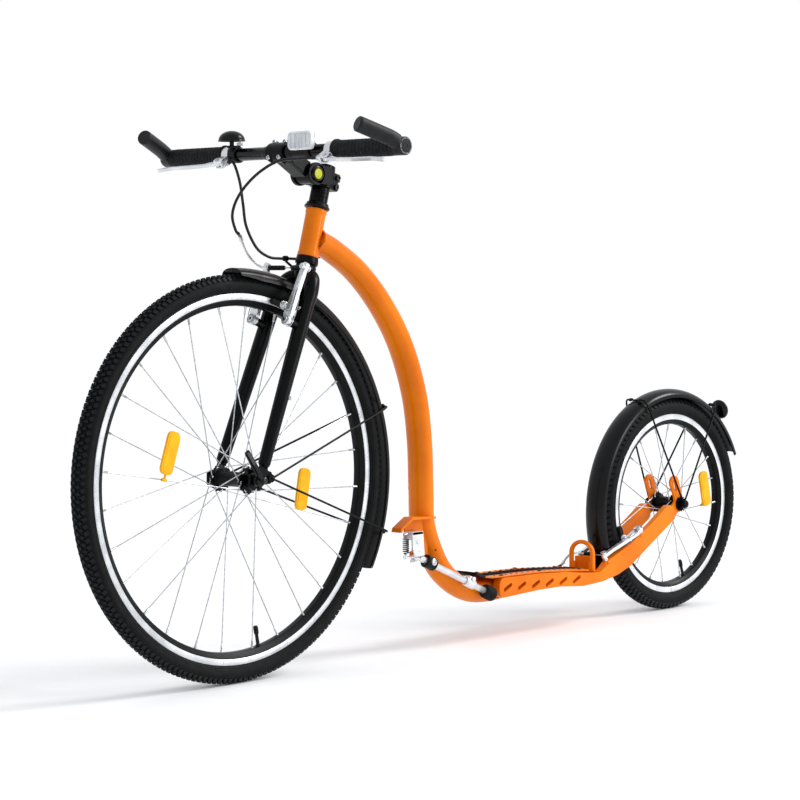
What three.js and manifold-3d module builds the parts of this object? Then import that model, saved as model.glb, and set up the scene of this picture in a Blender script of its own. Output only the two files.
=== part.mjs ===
// Kick bike: a tall front wheel, a low deck to stand on and a small rear wheel.
// Lengths are in mm. X points forward, Y to the rider's left and Z up.
// Points are measured from where the front wheel touches the floor.
import * as THREE from "three";
import { mergeVertices } from "three/addons/utils/BufferGeometryUtils.js";
import Module from "manifold-3d";

const wasm = await Module();
wasm.setup();

// Clearances
const GAP = 0.3;
const TURN_GAP = 0.8;
const WELD = 0.001;
const OVER = 2;

// Counts
const WHEEL_SIDES = 54;
const SMALL_WHEEL_SIDES = 42;
const ROUND_SIDES = 14;
const ROD_SIDES = 10;
const WIRE_SIDES = 8;
const SPOKE_SIDES = 3;
const NUT_SIDES = 6;
const SLOT_STEPS = 5;
const CORNER_STEPS = 2;

const DEGREE = Math.PI / 180;
const LEFT = 1;
const RIGHT = -1;
const SIDEWAYS = [0, 1, 0];
const UPRIGHT = [0, 0, 1];

// Wheels
const FRONT_WHEEL = {
  centre: [0, 0, 350],
  sides: WHEEL_SIDES,
  tyreRadius: 350,
  tyreHalfWidth: 19,
  tyreHalfDepth: 18,
  trackDepth: 13.9,
  wellDepth: 21.9,
  rimHalfWidth: 12,
  wellHalfWidth: 6,
  hubHalf: [[22, 37.6], [22, 33.4], [13, 29]],
  hubEnd: [9, 38.5],
  hubHalfLength: 49.9,
  spokeCount: 28,
  leadAngle: 60 * DEGREE,
  spokeRing: 20.5,
  spokeOffset: 35.5,
  spokeStep: 1.3,
  spokePhaseShare: 0.5,
  spokeRadius: 1.1,
  valveAngle: -99.7 * DEGREE,
  valveRadius: 4,
  valveLength: 36,
};
const REAR_WHEEL = {
  centre: [-1200, 0, 217.5],
  sides: SMALL_WHEEL_SIDES,
  tyreRadius: 217.5,
  tyreHalfWidth: 20,
  tyreHalfDepth: 19,
  trackDepth: 13.1,
  wellDepth: 21.1,
  rimHalfWidth: 12,
  wellHalfWidth: 6,
  hubHalf: [[20, 24.1], [20, 19.9], [13, 16]],
  hubEnd: [9, 25],
  hubHalfLength: 28.9,
  spokeCount: 20,
  leadAngle: 52 * DEGREE,
  spokeRing: 18.5,
  spokeOffset: 22,
  spokeStep: 1.3,
  spokePhaseShare: 0.2,
  spokeRadius: 1.1,
  valveAngle: -109.2 * DEGREE,
  valveRadius: 4,
  valveLength: 34,
};
const SEAT_ANGLE = 140 * DEGREE;
const TIP_SHARE = 0.4;
const TYRE_STEPS = 6;
const AXLE_RADIUS = 4.5;
const BORE_RADIUS = AXLE_RADIUS + GAP;

// Reflectors on the spokes: middle of each, in the wheel's plane
const SPOKE_REFLECTOR = { length: 74, width: 27, thick: 7, corner: 9, standOff: 1.6, clip: 2 };
const FRONT_REFLECTOR_A = [165, 406];
const FRONT_REFLECTOR_B = [-133, 325];
const REAR_REFLECTOR_SPOT = [-1307, 240];

// Steering axis: its foot in the middle of the lower cup, and its lean
const STEER_FOOT = [-178, 0, 719];
const STEER_LEAN = 74.3 * DEGREE;
const STEERER_RADIUS = 14.2;
const STEERER_TOP = 170;
const CROWN_RACE = { radius: 17, from: -30, to: -5.3 };
const LOWER_CUP = { radius: 20, from: -5, to: 9.2 };
const HEAD_TUBE = { radius: 18, bore: 15.4, from: 9.5, to: 95.5 };
const UPPER_CUP = { radius: 22.5, rim: 20, step: 101, from: 95.8, to: 107.5 };
const SPACERS = { radius: 16.5, from: 107.8, to: 134.7 };
const STEERER_BORE = STEERER_RADIUS + GAP;
const CUP_BORE = STEERER_RADIUS + TURN_GAP;

// Main tube: middle line in the frame's plane, and the oval's half sizes
const TUBE_LINE = [
  [-199, 0, 757], [-240, 0, 739], [-302, 0, 700], [-362, 0, 641], [-412, 0, 568], [-447, 0, 478],
  [-461, 0, 389], [-464, 0, 300], [-468, 0, 230], [-501, 0, 160], [-541, 0, 122], [-586, 0, 100],
  [-630, 0, 93.5], [-690, 0, 96],
];
const TUBE_HALF_WIDE = 25.5;
const TUBE_HALF_HIGH = 21;
const TUBE_SIDES = 16;
const TUBE_STEPS = 32;

// Side members: a deck rail that runs on into the rear stay
const RAIL_OUTLINE = [
  [-633, 82], [-746, 87], [-809, 87], [-880, 81], [-937, 84], [-962, 87],
  [-962, 121.6], [-936, 104], [-912, 103.5], [-830, 113.5], [-746, 118.5], [-633, 120.5],
];
const RAIL_INNER = 25.8;
const RAIL_OUTER = 42;
const STAY_OUTLINE = [
  [-938, 84], [-975, 88], [-997, 93], [-1034, 106], [-1184, 191], [-1166, 223],
  [-1100, 183], [-1034, 150], [-960, 121], [-941, 106],
];
const STAY_INNER = 25;
const STAY_OUTER = 37;
const SLOT = { length: 26, width: 7, angle: -25 * DEGREE };
const SLOT_FIRST = [-657, 101];
const SLOT_LAST = [-860, 96];
const SLOT_COUNT = 6;

// Deck plate: its top line, thickness and ribs
const DECK_TOP = [
  [-572, 137], [-590, 129.5], [-612, 125.5], [-634, 124], [-746, 122], [-830, 117], [-902, 111.3],
];
const DECK_THICK = 3.2;
const DECK_HALF_WIDE = 38;
const RIB = { first: -650, last: -890, length: 5, height: 2.6, sink: 1, halfWide: 33 };
const RIB_COUNT = 9;

// Hoop in front of the rear wheel, its cross plate and the saddle behind it
const HOOP = { x: -927, half: 27, foot: 104.9, middle: 120, top: 138, arch: 23, depth: 9, thick: 8.5 };
const HOOP_TAB = { front: -923.5, back: -930.5, inner: 19, outer: 24.7, bottom: 93, top: 122 };
const HOOP_STEPS = 16;
const HOOP_ARCH_STEPS = 6;
const CROSS_PLATE = { front: -911, back: -984, bottom: 91.5, top: 97.5, half: 24.7 };
const SADDLE = { x: -934, sag: 13, half: 24.7, thick: 4, bottom: 94, top: 131 };
const SADDLE_STEPS = 10;

// Rear dropouts, each let into the end of its stay
const DROPOUT = { inner: 29.3, outer: 34.3 };
const DROPOUT_FOOT = [-1147, 190];
const DROPOUT_AXLE = [-1200, 217.5];
const DROPOUT_TOP = [-1183, 262];
const DROPOUT_NARROW = 12;
const DROPOUT_WIDE = 14;
const EAR_SLOT = { length: 24, width: 7, angle: 70 * DEGREE };
const EAR_SLOT_SPOT = [-1184, 256];
const REAR_NUT = { radius: 9, from: 34.7, to: 41.8 };
const REAR_CAP = { radius: 8, from: 46, to: 52 };

// Fork: crown, legs, dropouts and brake bosses
const LEG_SHOULDER = [
  [-171, 3, 694], [-168, 17, 694], [-160, 31, 687], [-148, 39.8, 668], [-138, 41.4, 650],
];
const SHOULDER_RADIUS = 11.5;
const LEG_TOP = [-141, 41.2, 658];
const LEG_FOOT = [-21, 53, 379];
const LEG_TOP_RADIUS = 14.2;
const LEG_FOOT_RADIUS = 10.8;
const SHOULDER_STEPS = 6;
const FORK_TIP = { inner: 50.2, outer: 55.4 };
const FORK_TIP_OUTLINE = [
  [-37, 396], [-22, 398], [-6, 365], [14, 362], [15, 340], [5, 331], [-9, 333],
  [-16, 342], [-33, 343], [-41, 351], [-35, 363], [-26, 366],
];
const TIP_SLOT = { halfWide: AXLE_RADIUS + GAP, reach: 30 };
const LEG_SCREW = { radius: 2.6, reach: 16.5 };
const LEG_SCREW_SHARES = [0.0645, 0.613];
const LEG_SCREW_WAYS = [[1, 0, 0], [-0.7, 0.7, 0]];

// Brakes: where each arm turns, which way it points and how far it reaches
const FRONT_BRAKE = {
  pivot: [-88, 42, 620],
  along: [-0.402, 0, 0.916],
  bossFoot: 30,
  wheel: FRONT_WHEEL,
  thick: 9,
  outline: [[9, 14], [5.5, 50], [-4, 88], [-5, 106], [-16, 106], [-14, 86], [-5, 50], [-8, 14]],
  clamp: [-10.5, 98],
};
const REAR_BRAKE = {
  pivot: [-1064.8, 33, 173.6],
  along: [0.931, 0, -0.365],
  bossFoot: -12,
  wheel: REAR_WHEEL,
  thick: 8,
  outline: [[9, 14], [6, 50], [1.5, 88], [1.5, 120], [-6, 120], [-6, 88], [-4, 50], [-8, 14]],
  clamp: [-2.7, 112.5],
};
const ARM_EYE_RADIUS = 9;
const ARM_BORE = 4.6;
const BOSS_RADIUS = ARM_BORE - GAP;
const BOSS_COLLAR = 7;
const BOSS_HEAD = { radius: 6.5, height: 3.5 };
const PAD = { length: 50, height: 9, corner: 3, thick: 8, clear: 1 };
const PAD_POST = 4;
const CLAMP_RADIUS = 5;
const CLAMP_HALF = 7.5;
const BRAKE_WIRE = 1.2;
const BOOT = { radius: 4.2, bore: 2.7 };
const FRONT_BOOT = { from: 9, to: -19, wireTo: -3 };
const REAR_BOOT = { from: 6, to: -19, wireTo: -4 };
const NOODLE_RADIUS = 2.6;
const NOODLE_BORE = 3.3;
const FRONT_NOODLE = [
  [-126, -47, 711], [-114, -55, 722], [-98, -55, 736], [-78, -49, 752], [-60, -43, 766],
];
const REAR_NOODLE = [[-959.5, -43, 132.4], [-953, -52, 130], [-941, -53, 123], [-924, -48.8, 113]];
const NOODLE_STEPS = 8;

// Fenders: arcs about their own middles, shells with rounded edges
const FRONT_FENDER = {
  centre: [-4, 348],
  radius: 363,
  half: 25,
  drop: 9,
  thick: 2,
  from: 89.5 * DEGREE,
  to: 210 * DEGREE,
  steps: 28,
};
const REAR_FENDER = {
  centre: [-1199, 210],
  radius: 242.5,
  half: 24.2,
  drop: 13,
  thick: 2.4,
  to: 155.4 * DEGREE,
  steps: 26,
};
const FENDER_POST = { radius: 5, top: -39.8, reach: 9.5 };
const FENDER_STEPS = 4;
const STAY_WIRE = 1.9;
const STAY_SPREAD = 28.5;
const STAY_CORNER = 7;
const ARCH_STEPS = 6;
const STAY_EYE = { radius: 7, thick: 3.2 };
const FRONT_STAY_EYE = [-33, FORK_TIP.outer + GAP + STAY_EYE.thick / 2, 352];
const FRONT_STAY_LIFT = 1.4;
const FRONT_STAY_ANGLES = [162.5 * DEGREE, 198.5 * DEGREE];
const REAR_STAY_EYE = [-1200, 44.2, 217.5];
const REAR_STAY_ANGLES = [66 * DEGREE, 124 * DEGREE];

// Rear reflector on its bracket
const TAIL_REFLECTOR = { radius: 20, depth: 13, lip: 3, angle: 133.5 * DEGREE, lift: 20 };
const TAIL_BRACKET = { half: 6, thick: 4, angle: 136 * DEGREE };
const TAIL_FACING = [-0.97, 0, 0.243];

// Quick release lever
const CAM = { y: 68.6, radius: 7, half: 8 };
const CAM_ARM = [0.5, 0, 0.866];
const CAM_CUP = { radius: 9, from: 55.7, to: 61.2 };
const AXLE_NUT = { radius: 8.5, from: 55.7, to: 63 };
const LEVER_SHAPE = [
  [0, -5], [18, -4], [34, -3.5], [56, -7], [61, -6], [61, -1], [56, 0], [34, 3], [18, 4], [0, 5],
];
const LEVER_THICK = 11;

// Stem: base round the steerer, tilting arm and pivot
const PIVOT = [-183, 0, 873];
const BAR_CENTRE = [-118, 0, 909];
const STEM_BASE = { radius: 20, from: 135, to: 176, cheek: 20, cheekOuter: 24, below: 16 };
const STEM_BACK = { reach: 31, half: 13, low: 136, high: 167 };
const BACK_BOLT = { radius: 4, half: 17, heights: [143, 160], reach: 23.5 };
const STEM_ARM = { knuckle: 17.5, half: 16, clamp: 17.5, clampHalf: 21, waist: 12.5 };
const ARM_ROOM = { radius: 19.5, half: 16.3 };
const STEM_BORE = 13;
const PIN_RADIUS = 6;
const PIVOT_CAP = { radius: 11.5, from: 24.3, to: 28.3 };

// Handlebar and what is on it; places are distances from the middle
const BAR = { radius: 11.1, bulge: 12.7, bulgeHalf: 30, taper: 38, half: 298 };
const BAR_BORE = BAR.radius + GAP;
const GRIP = { radius: 15.5, flange: 18, from: 138.5, inset: 18.5, flangeTo: 142 };
const GRIP_TO = BAR.half - GRIP.inset;
const HORN = { clamp: 15.5, inset: 18, over: 2.5, radius: 13.5 };
const HORN_FROM = BAR.half - HORN.inset;
const HORN_TO = BAR.half + HORN.over;
const HORN_POINTS = [[-112, -8, 913], [-98, -11, 921], [-84, -15.5, 927], [-45, -28, 942]];
const HORN_LINE = HORN_POINTS.map(([x, y, z]) => [x, BAR.half + y, z]);
const HORN_STEPS = 6;
const REACH = [0.832, 0, -0.555];
const RISE = [0.555, 0, 0.832];
const BRACKET = {
  ring: 15,
  from: 121,
  to: 137.5,
  inner: 120.5,
  outer: 144,
  near: 8,
  step: 19,
  far: 33,
  half: 7,
};
const BRACKET_SLOT = { from: 126, near: 18.8, half: 4 };
const BARREL = { radius: 4, length: 9, reach: 24 };
const LEVER_PIVOT = { across: 135, reach: 26.5, radius: 2.4 };
const BLADE = [
  [129, 21.5], [141, 22], [166, 30.5], [205, 33], [250, 33.5], [282, 38.5],
  [286, 41], [281, 43], [250, 37.5], [205, 37], [166, 34.8], [141, 31], [129, 31.5],
];
const BLADE_THICK = 7.2;

// Bell: clamp, post, dome and striker
const BELL = { y: -112, half: 8, ring: 14.5, postRadius: 4, postAhead: 11 };
const DOME = { base: 933, half: 23.5, rise: 18, wall: 2, steps: 4 };
const POST_SHARE = 0.5;
const STRIKER_WAY = [0.6, 0.8, 0];
const BELL_BASE = { radius: 8, from: 921, to: 925 };
const STRIKER = {
  aside: 20,
  lift: 4,
  radius: 2,
  length: 15,
  knobRadius: 3.6,
  post: 2.2,
  bore: 2.6,
  ring: 5,
  half: 2.2,
};

// Front reflector on its bracket
const LAMP = { x: -93, y: 77, z: 926, width: 64, height: 34, thick: 10, corner: 6 };
const LAMP_CLAMP = { ring: 14.5, half: 6 };
const LAMP_NECK = { half: 5, thick: 6 };

// Cables, each along its real route
const CABLE_RADIUS = 2.5;
const FRONT_CABLE = [
  [-98, 111, 895.7], [-93, 76, 895.5], [-86, 30, 893], [-76, -6, 876], [-60, -26, 852],
  [-46, -36, 826], [-41, -41, 800], [-49, -42, 776], [-57, -42.4, 768.6],
];
const FRONT_CABLE_STEPS = 18;
const REAR_LEAD = [
  [-98, -110.8, 895.7], [-97.5, -97, 893], [-88, -72, 860], [-73, -48, 820], [-66, -33, 782],
  [-82, -25, 745], [-108, -22, 729], [-135, -22.2, 726], [-149.8, -24, 726],
];
const REAR_LEAD_STEPS = 16;
const CABLE_CLIP = {
  at: [-150, -24, 726],
  way: [-1, -0.15, 0],
  foot: [-166, -9, 702],
  radius: 5,
  half: 4,
  bore: 3,
  arm: 2.2,
};
const REAR_LOOP = [
  [-150.2, -24.1, 726], [-165, -27, 725.6], [-190, -30.5, 725], [-220, -31.5, 726], [-244.8, -30.3, 729.6],
];
const REAR_LOOP_STEPS = 7;
const REAR_CABLE = [
  [-245.6, -30.2, 729.8], [-262, -28.6, 726.6], [-302, -28, 700], [-362, -28, 641], [-412, -28, 568],
  [-447, -28, 478], [-461, -28, 389], [-464, -28, 300], [-468, -28, 230], [-501, -28, 160],
  [-541, -28.5, 122], [-586, -33.5, 104], [-625, -45.3, 101], [-700, -45, 102], [-860, -45.3, 100],
  [-919, -48.4, 110.6],
];
const REAR_CABLE_STEPS = 32;

// Kickstand: strap, housing, leg, foot and spring
const STRAP_OUTLINE = [
  [-466, 251], [-405, 254], [-374, 236], [-371, 228], [-376, 228], [-381, 235], [-406, 249], [-466, 246.5],
];
const STRAP = { inner: 12, outer: 36 };
const WEB_OUTLINE = [
  [-464, 251], [-405, 252], [-403, 216], [-404.6, 211], [-424.5, 211], [-424.5, 189], [-411.8, 189],
  [-416, 176], [-464, 176],
];
const WEB = { inner: 12, outer: 16 };
const HOUSING_NEAR = [[-429, 227], [-401, 227], [-402, 200], [-409, 181.5], [-433, 181.5], [-431, 200]];
const HOUSING_FAR = [
  [-429, 227], [-401, 227], [-402, 212], [-425, 209], [-425, 186], [-412, 168], [-434, 170], [-431, 200],
];
const HOUSING_TOP = [[-429, 227], [-401, 227], [-401, 221.5], [-429, 221.5]];
const HOUSING = { inner: 16.3, outer: 38, wall: 3 };
const STAND_PIVOT = [-424, 27, 180];
const STAND_AXIS = [0.148, -0.893, -0.424];
const STAND_TIP = [-592, 41, 101];
const STAND_ROOT = { radius: 7.5, half: 4, pin: 3, pinOut: 9, pinIn: 8.5 };
const STAND_LEG_RADIUS = 6.2;
const STAND_COLLAR = { radius: 12.5, shares: [0.11, 0.24] };
const STAND_CLAMP = { radius: 9, shares: [0.7, 0.83] };
const STAND_FOOT = { radius: 13.5, shares: [0.97, 1.12] };
const STAND_HOOK = { tip: [-391, 27, 181], radius: 2.6 };
const SPRING = {
  x: -394,
  y: 27,
  bottom: 184.2,
  top: 220,
  radius: 4,
  wire: 0.8,
  sides: 5,
  lead: 2.4,
  curls: 7,
  steps: 8,
};
const SPRING_PIN = { from: [-403, 27, 224], to: [-390, 27, 222.6], radius: 2.2 };

// Materials
const paint = (name, color, metalness, roughness) =>
  Object.assign(new THREE.MeshStandardMaterial({ color, metalness, roughness }), { name });
const ORANGE = paint("orange_paint", 0xf58a1c, 0.1, 0.35);
const BLACK = paint("black_paint", 0x17181a, 0.2, 0.4);
const PLASTIC = paint("black_plastic", 0x101113, 0, 0.45);
const RUBBER = paint("rubber", 0x1b1c1e, 0, 0.85);
const SILVER = paint("silver_metal", 0xc9ccd0, 0.9, 0.3);
const ALLOY = paint("rim_alloy", 0xb9bcc0, 0.8, 0.35);
const CLEAR = paint("clear_reflector", 0xdadde0, 0.2, 0.15);
const AMBER = paint("amber_reflector", 0xf7b500, 0, 0.3);
const RED = paint("red_reflector", 0x9c1512, 0, 0.3);
const LIME = paint("lime_plastic", 0xc8d400, 0, 0.4);

const vector = (p) => new THREE.Vector3(...p);
const mix = (a, b, share) => a.map((value, i) => value + (b[i] - value) * share);
const onSide = (side) => ([x, y, z]) => [x, y * side, z];
const sum = (a, b, scale = 1) => a.map((value, i) => value + b[i] * scale);

// A closed solid from a geometry, with its faces pointing out.
function solid(geometry, matrix) {
  const loose = geometry.index ? geometry.toNonIndexed() : geometry.clone();
  const bare = new THREE.BufferGeometry().setAttribute("position", loose.getAttribute("position"));
  if (matrix) bare.applyMatrix4(matrix);
  const merged = mergeVertices(bare, WELD);
  const corners = [];
  for (let i = 0; i < merged.index.count; i += 3) {
    const [a, b, c] = merged.index.array.slice(i, i + 3);
    if (a !== b && b !== c && a !== c) corners.push([a, b, c]);
  }
  const build = (triples) =>
    new wasm.Manifold(
      new wasm.Mesh({
        numProp: 3,
        vertProperties: merged.attributes.position.array,
        triVerts: new Uint32Array(triples.flat()),
      }),
    );
  const made = build(corners);
  return made.volume() < 0 ? build(corners.map(([a, b, c]) => [a, c, b])) : made;
}

const joined = (...solids) => solids.flat().reduce((a, b) => a.add(b));
const without = (body, ...tools) => tools.flat().reduce((a, b) => a.subtract(b), body);

// The pose that carries the Y axis to a direction through a point.
function pose(at, along) {
  const turn = new THREE.Quaternion().setFromUnitVectors(vector(SIDEWAYS), vector(along).normalize());
  return new THREE.Matrix4().compose(vector(at), turn, new THREE.Vector3(1, 1, 1));
}

// A body turned from [radius, height] pairs about a direction through a point.
function turned(outline, at, along, sides) {
  const points = outline.map(([radius, height]) => new THREE.Vector2(radius, height));
  return solid(new THREE.LatheGeometry(points, sides), pose(at, along));
}

// A ring between two radii and two heights on a direction through a point.
function ring(outer, bore, from, to, at, along, sides) {
  const outline = [[bore, from], [outer, from], [outer, to], [bore, to], [bore, from]];
  return turned(outline, at, along, sides);
}

// A round rod between two points, which may taper.
function rod(from, to, radius, sides, endRadius = radius) {
  const start = vector(from);
  const span = vector(to).sub(start);
  const middle = start.clone().addScaledVector(span, 0.5);
  const geometry = new THREE.CylinderGeometry(endRadius, radius, span.length(), sides);
  return solid(geometry, pose(middle.toArray(), span.toArray()));
}

// A flat outline on two directions, extruded evenly both ways through a point.
function slab(outline, at, across, up, thick) {
  const shape = new THREE.Shape(outline.map(([a, b]) => new THREE.Vector2(a, b)));
  const geometry = new THREE.ExtrudeGeometry(shape, { depth: thick, bevelEnabled: false });
  geometry.translate(0, 0, -thick / 2);
  const normal = vector(across).cross(vector(up));
  const matrix = new THREE.Matrix4().makeBasis(vector(across), vector(up), normal);
  return solid(geometry, matrix.setPosition(vector(at)));
}

// An outline in the frame's plane, extruded between two places across the bike.
function plate(outline, inner, outer, side = LEFT) {
  const middle = ((inner + outer) / 2) * side;
  return slab(outline, [0, middle, 0], [1, 0, 0], UPRIGHT, Math.abs(outer - inner));
}

// A box between two corners.
function box(low, high) {
  const outline = [[low[0], low[2]], [high[0], low[2]], [high[0], high[2]], [low[0], high[2]]];
  return plate(outline, low[1], high[1]);
}

// A section carried along a line of points.
function swept(line, section, steps) {
  const shape = new THREE.Shape(section.map(([a, b]) => new THREE.Vector2(a, b)));
  const path = new THREE.CatmullRomCurve3(line.map(vector), false, "centripetal");
  return solid(new THREE.ExtrudeGeometry(shape, { steps, extrudePath: path, bevelEnabled: false }));
}

const oval = (wide, high, sides) =>
  Array.from({ length: sides }, (_, i) => {
    const angle = ((i + 0.5) * 2 * Math.PI) / sides;
    return [wide * Math.cos(angle), high * Math.sin(angle)];
  });
const cord = (line, radius, steps) => swept(line, oval(radius, radius, WIRE_SIDES), steps);

// A slot outline: two half circles joined by straight sides.
function capsule([x, z], length, width, angle) {
  const half = (length - width) / 2;
  const points = [];
  for (const end of [1, -1])
    for (let i = 0; i <= SLOT_STEPS; i += 1) {
      const a = Math.PI * (i / SLOT_STEPS - end / 2);
      points.push([half * end + (Math.cos(a) * width) / 2, (Math.sin(a) * width) / 2]);
    }
  return points.map(([a, b]) => [
    x + a * Math.cos(angle) - b * Math.sin(angle),
    z + a * Math.sin(angle) + b * Math.cos(angle),
  ]);
}

// A box outline with rounded corners about its own middle.
function roundedBox(width, height, corner) {
  const points = [];
  const corners = [[1, 1], [-1, 1], [-1, -1], [1, -1]];
  corners.forEach(([sx, sy], quarter) => {
    for (let i = 0; i <= CORNER_STEPS; i += 1) {
      const a = (Math.PI / 2) * (quarter + i / CORNER_STEPS);
      const x = sx * (width / 2 - corner) + corner * Math.cos(a);
      points.push([x, sy * (height / 2 - corner) + corner * Math.sin(a)]);
    }
  });
  return points;
}

// A point by its distance from a centre in the frame's plane, and its place across.
const polar = ([x, z], radius, angle, y = 0) => [
  x + radius * Math.cos(angle),
  y,
  z + radius * Math.sin(angle),
];
const flat = ([x, , z]) => [x, z];

// The tangent band round two circles in the frame's plane.
function band(a, b, ra, rb) {
  const away = new THREE.Vector2(b[0] - a[0], b[1] - a[1]).normalize();
  return [
    [a[0] - away.y * ra, a[1] + away.x * ra],
    [b[0] - away.y * rb, b[1] + away.x * rb],
    [b[0] + away.y * rb, b[1] - away.x * rb],
    [a[0] + away.y * ra, a[1] - away.x * ra],
  ];
}

const bike = new THREE.Group();
bike.name = "kick_bike";

// Adds a finished solid to the bike as a named part.
function add(name, body, material) {
  const { vertProperties, triVerts } = body.getMesh();
  const geometry = new THREE.BufferGeometry();
  geometry.setAttribute("position", new THREE.BufferAttribute(new Float32Array(vertProperties), 3));
  geometry.setIndex(new THREE.BufferAttribute(new Uint32Array(triVerts), 1));
  geometry.computeVertexNormals();
  const mesh = new THREE.Mesh(geometry, material);
  mesh.name = name;
  bike.add(mesh);
}

// Wheels
const tyreMiddle = (wheel) => wheel.tyreRadius - wheel.tyreHalfDepth;
const seatRadius = (wheel) => tyreMiddle(wheel) + wheel.tyreHalfDepth * Math.cos(SEAT_ANGLE);
const rimOuter = (wheel) => seatRadius(wheel) - GAP;
const trackInner = (wheel) => rimOuter(wheel) - wheel.trackDepth;
const rimInner = (wheel) => rimOuter(wheel) - wheel.wellDepth;

function tyre(wheel) {
  const outline = [];
  for (let i = 0; i <= TYRE_STEPS; i += 1) {
    const angle = SEAT_ANGLE * ((2 * i) / TYRE_STEPS - 1);
    const radius = tyreMiddle(wheel) + wheel.tyreHalfDepth * Math.cos(angle);
    outline.push([radius, wheel.tyreHalfWidth * Math.sin(angle)]);
  }
  outline.push(outline[0]);
  return turned(outline, wheel.centre, SIDEWAYS, wheel.sides);
}

function rim(wheel) {
  const half = [
    [rimOuter(wheel), wheel.rimHalfWidth],
    [trackInner(wheel), wheel.rimHalfWidth],
    [rimInner(wheel), wheel.wellHalfWidth],
  ];
  const outline = [...half, ...half.map(([r, y]) => [r, -y]).reverse(), half[0]];
  const valveFoot = polar(flat(wheel.centre), rimInner(wheel) + OVER, wheel.valveAngle);
  const valveTip = polar(flat(wheel.centre), rimInner(wheel) - wheel.valveLength, wheel.valveAngle);
  const valve = rod(valveFoot, valveTip, wheel.valveRadius, WIRE_SIDES);
  return joined(turned(outline, wheel.centre, SIDEWAYS, wheel.sides), valve);
}

// Each spoke's foot on its flange and its tip in the rim, left and right in turn.
function spokeLines(wheel) {
  const pitch = (2 * Math.PI) / wheel.spokeCount;
  const tipRadius = rimInner(wheel) * Math.cos(Math.PI / wheel.sides) - GAP;
  return Array.from({ length: wheel.spokeCount }, (_, i) => {
    const side = i % 2 ? RIGHT : LEFT;
    const lead = Math.floor(i / 2) % 2 ? wheel.leadAngle : -wheel.leadAngle;
    const angle = (i + wheel.spokePhaseShare) * pitch;
    const step = wheel.spokeStep * Math.sign(lead);
    const footY = (wheel.spokeOffset + step) * side;
    const foot = polar(flat(wheel.centre), wheel.spokeRing, angle + lead, footY);
    return [foot, polar(flat(wheel.centre), tipRadius, angle, wheel.wellHalfWidth * side * TIP_SHARE)];
  });
}

function hub(wheel) {
  const end = [[wheel.hubEnd[0], wheel.hubEnd[1]], [wheel.hubEnd[0], wheel.hubHalfLength]];
  const half = [...wheel.hubHalf.toReversed(), ...end, [BORE_RADIUS, wheel.hubHalfLength]];
  const outline = [...half.map(([r, y]) => [r, -y]).reverse(), ...half];
  outline.push(outline[0]);
  const spokes = spokeLines(wheel).map(([foot, tip]) => rod(foot, tip, wheel.spokeRadius, SPOKE_SIDES));
  return joined(turned(outline, wheel.centre, SIDEWAYS, ROUND_SIDES), spokes);
}

// The rod that clips a reflector to the nearest spoke of the left side.
function spokeClip(wheel, middle) {
  const left = spokeLines(wheel).filter(([foot]) => foot[1] > 0);
  const near = left.map(([foot, tip]) => {
    const line = new THREE.Line3(vector(foot), vector(tip));
    return line.closestPointToPoint(vector(middle), true, new THREE.Vector3());
  });
  near.sort((a, b) => a.distanceTo(vector(middle)) - b.distanceTo(vector(middle)));
  const way = near[0].clone().sub(vector(middle));
  const reach = way.length() - wheel.spokeRadius - GAP;
  return rod(middle, sum(middle, way.normalize().toArray(), reach), SPOKE_REFLECTOR.clip, WIRE_SIDES);
}

// A reflector that lies on the left spokes, across their direction.
function spokeReflector(wheel, spot) {
  const out = vector([spot[0] - wheel.centre[0], 0, spot[1] - wheel.centre[2]]);
  const near = out.length() - SPOKE_REFLECTOR.width / 2;
  const share = (near - wheel.spokeRing) / (rimInner(wheel) - wheel.spokeRing);
  const spokeY = (wheel.spokeOffset + wheel.spokeStep) * (1 - share) + wheel.spokeRadius;
  const y = spokeY + SPOKE_REFLECTOR.standOff + SPOKE_REFLECTOR.thick / 2;
  const radial = out.normalize();
  const tangent = [-radial.z, 0, radial.x];
  const outline = roundedBox(SPOKE_REFLECTOR.length, SPOKE_REFLECTOR.width, SPOKE_REFLECTOR.corner);
  const middle = [spot[0], y, spot[1]];
  const lens = slab(outline, middle, tangent, radial.toArray(), SPOKE_REFLECTOR.thick);
  return joined(lens, spokeClip(wheel, middle));
}

add("front_tyre", tyre(FRONT_WHEEL), RUBBER);
add("front_rim", rim(FRONT_WHEEL), ALLOY);
add("front_hub", hub(FRONT_WHEEL), SILVER);
add("front_wheel_reflector_a", spokeReflector(FRONT_WHEEL, FRONT_REFLECTOR_A), AMBER);
add("front_wheel_reflector_b", spokeReflector(FRONT_WHEEL, FRONT_REFLECTOR_B), AMBER);
add("rear_tyre", tyre(REAR_WHEEL), RUBBER);
add("rear_rim", rim(REAR_WHEEL), ALLOY);
add("rear_hub", hub(REAR_WHEEL), SILVER);
add("rear_wheel_reflector", spokeReflector(REAR_WHEEL, REAR_REFLECTOR_SPOT), AMBER);

// Headset on the steering axis
const STEER_UP = [-Math.cos(STEER_LEAN), 0, Math.sin(STEER_LEAN)];
const STEER_BACK = [-Math.sin(STEER_LEAN), 0, -Math.cos(STEER_LEAN)];
const onSteer = (height) => sum(STEER_FOOT, STEER_UP, height);
const steerRing = (part, bore) =>
  ring(part.radius, bore, part.from, part.to, STEER_FOOT, STEER_UP, ROUND_SIDES);

function upperCup() {
  const outline = [
    [CUP_BORE, UPPER_CUP.from],
    [UPPER_CUP.rim, UPPER_CUP.from],
    [UPPER_CUP.radius, UPPER_CUP.from + OVER],
    [UPPER_CUP.radius, UPPER_CUP.step],
    [UPPER_CUP.rim, UPPER_CUP.to],
    [CUP_BORE, UPPER_CUP.to],
    [CUP_BORE, UPPER_CUP.from],
  ];
  return turned(outline, STEER_FOOT, STEER_UP, ROUND_SIDES);
}

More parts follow.
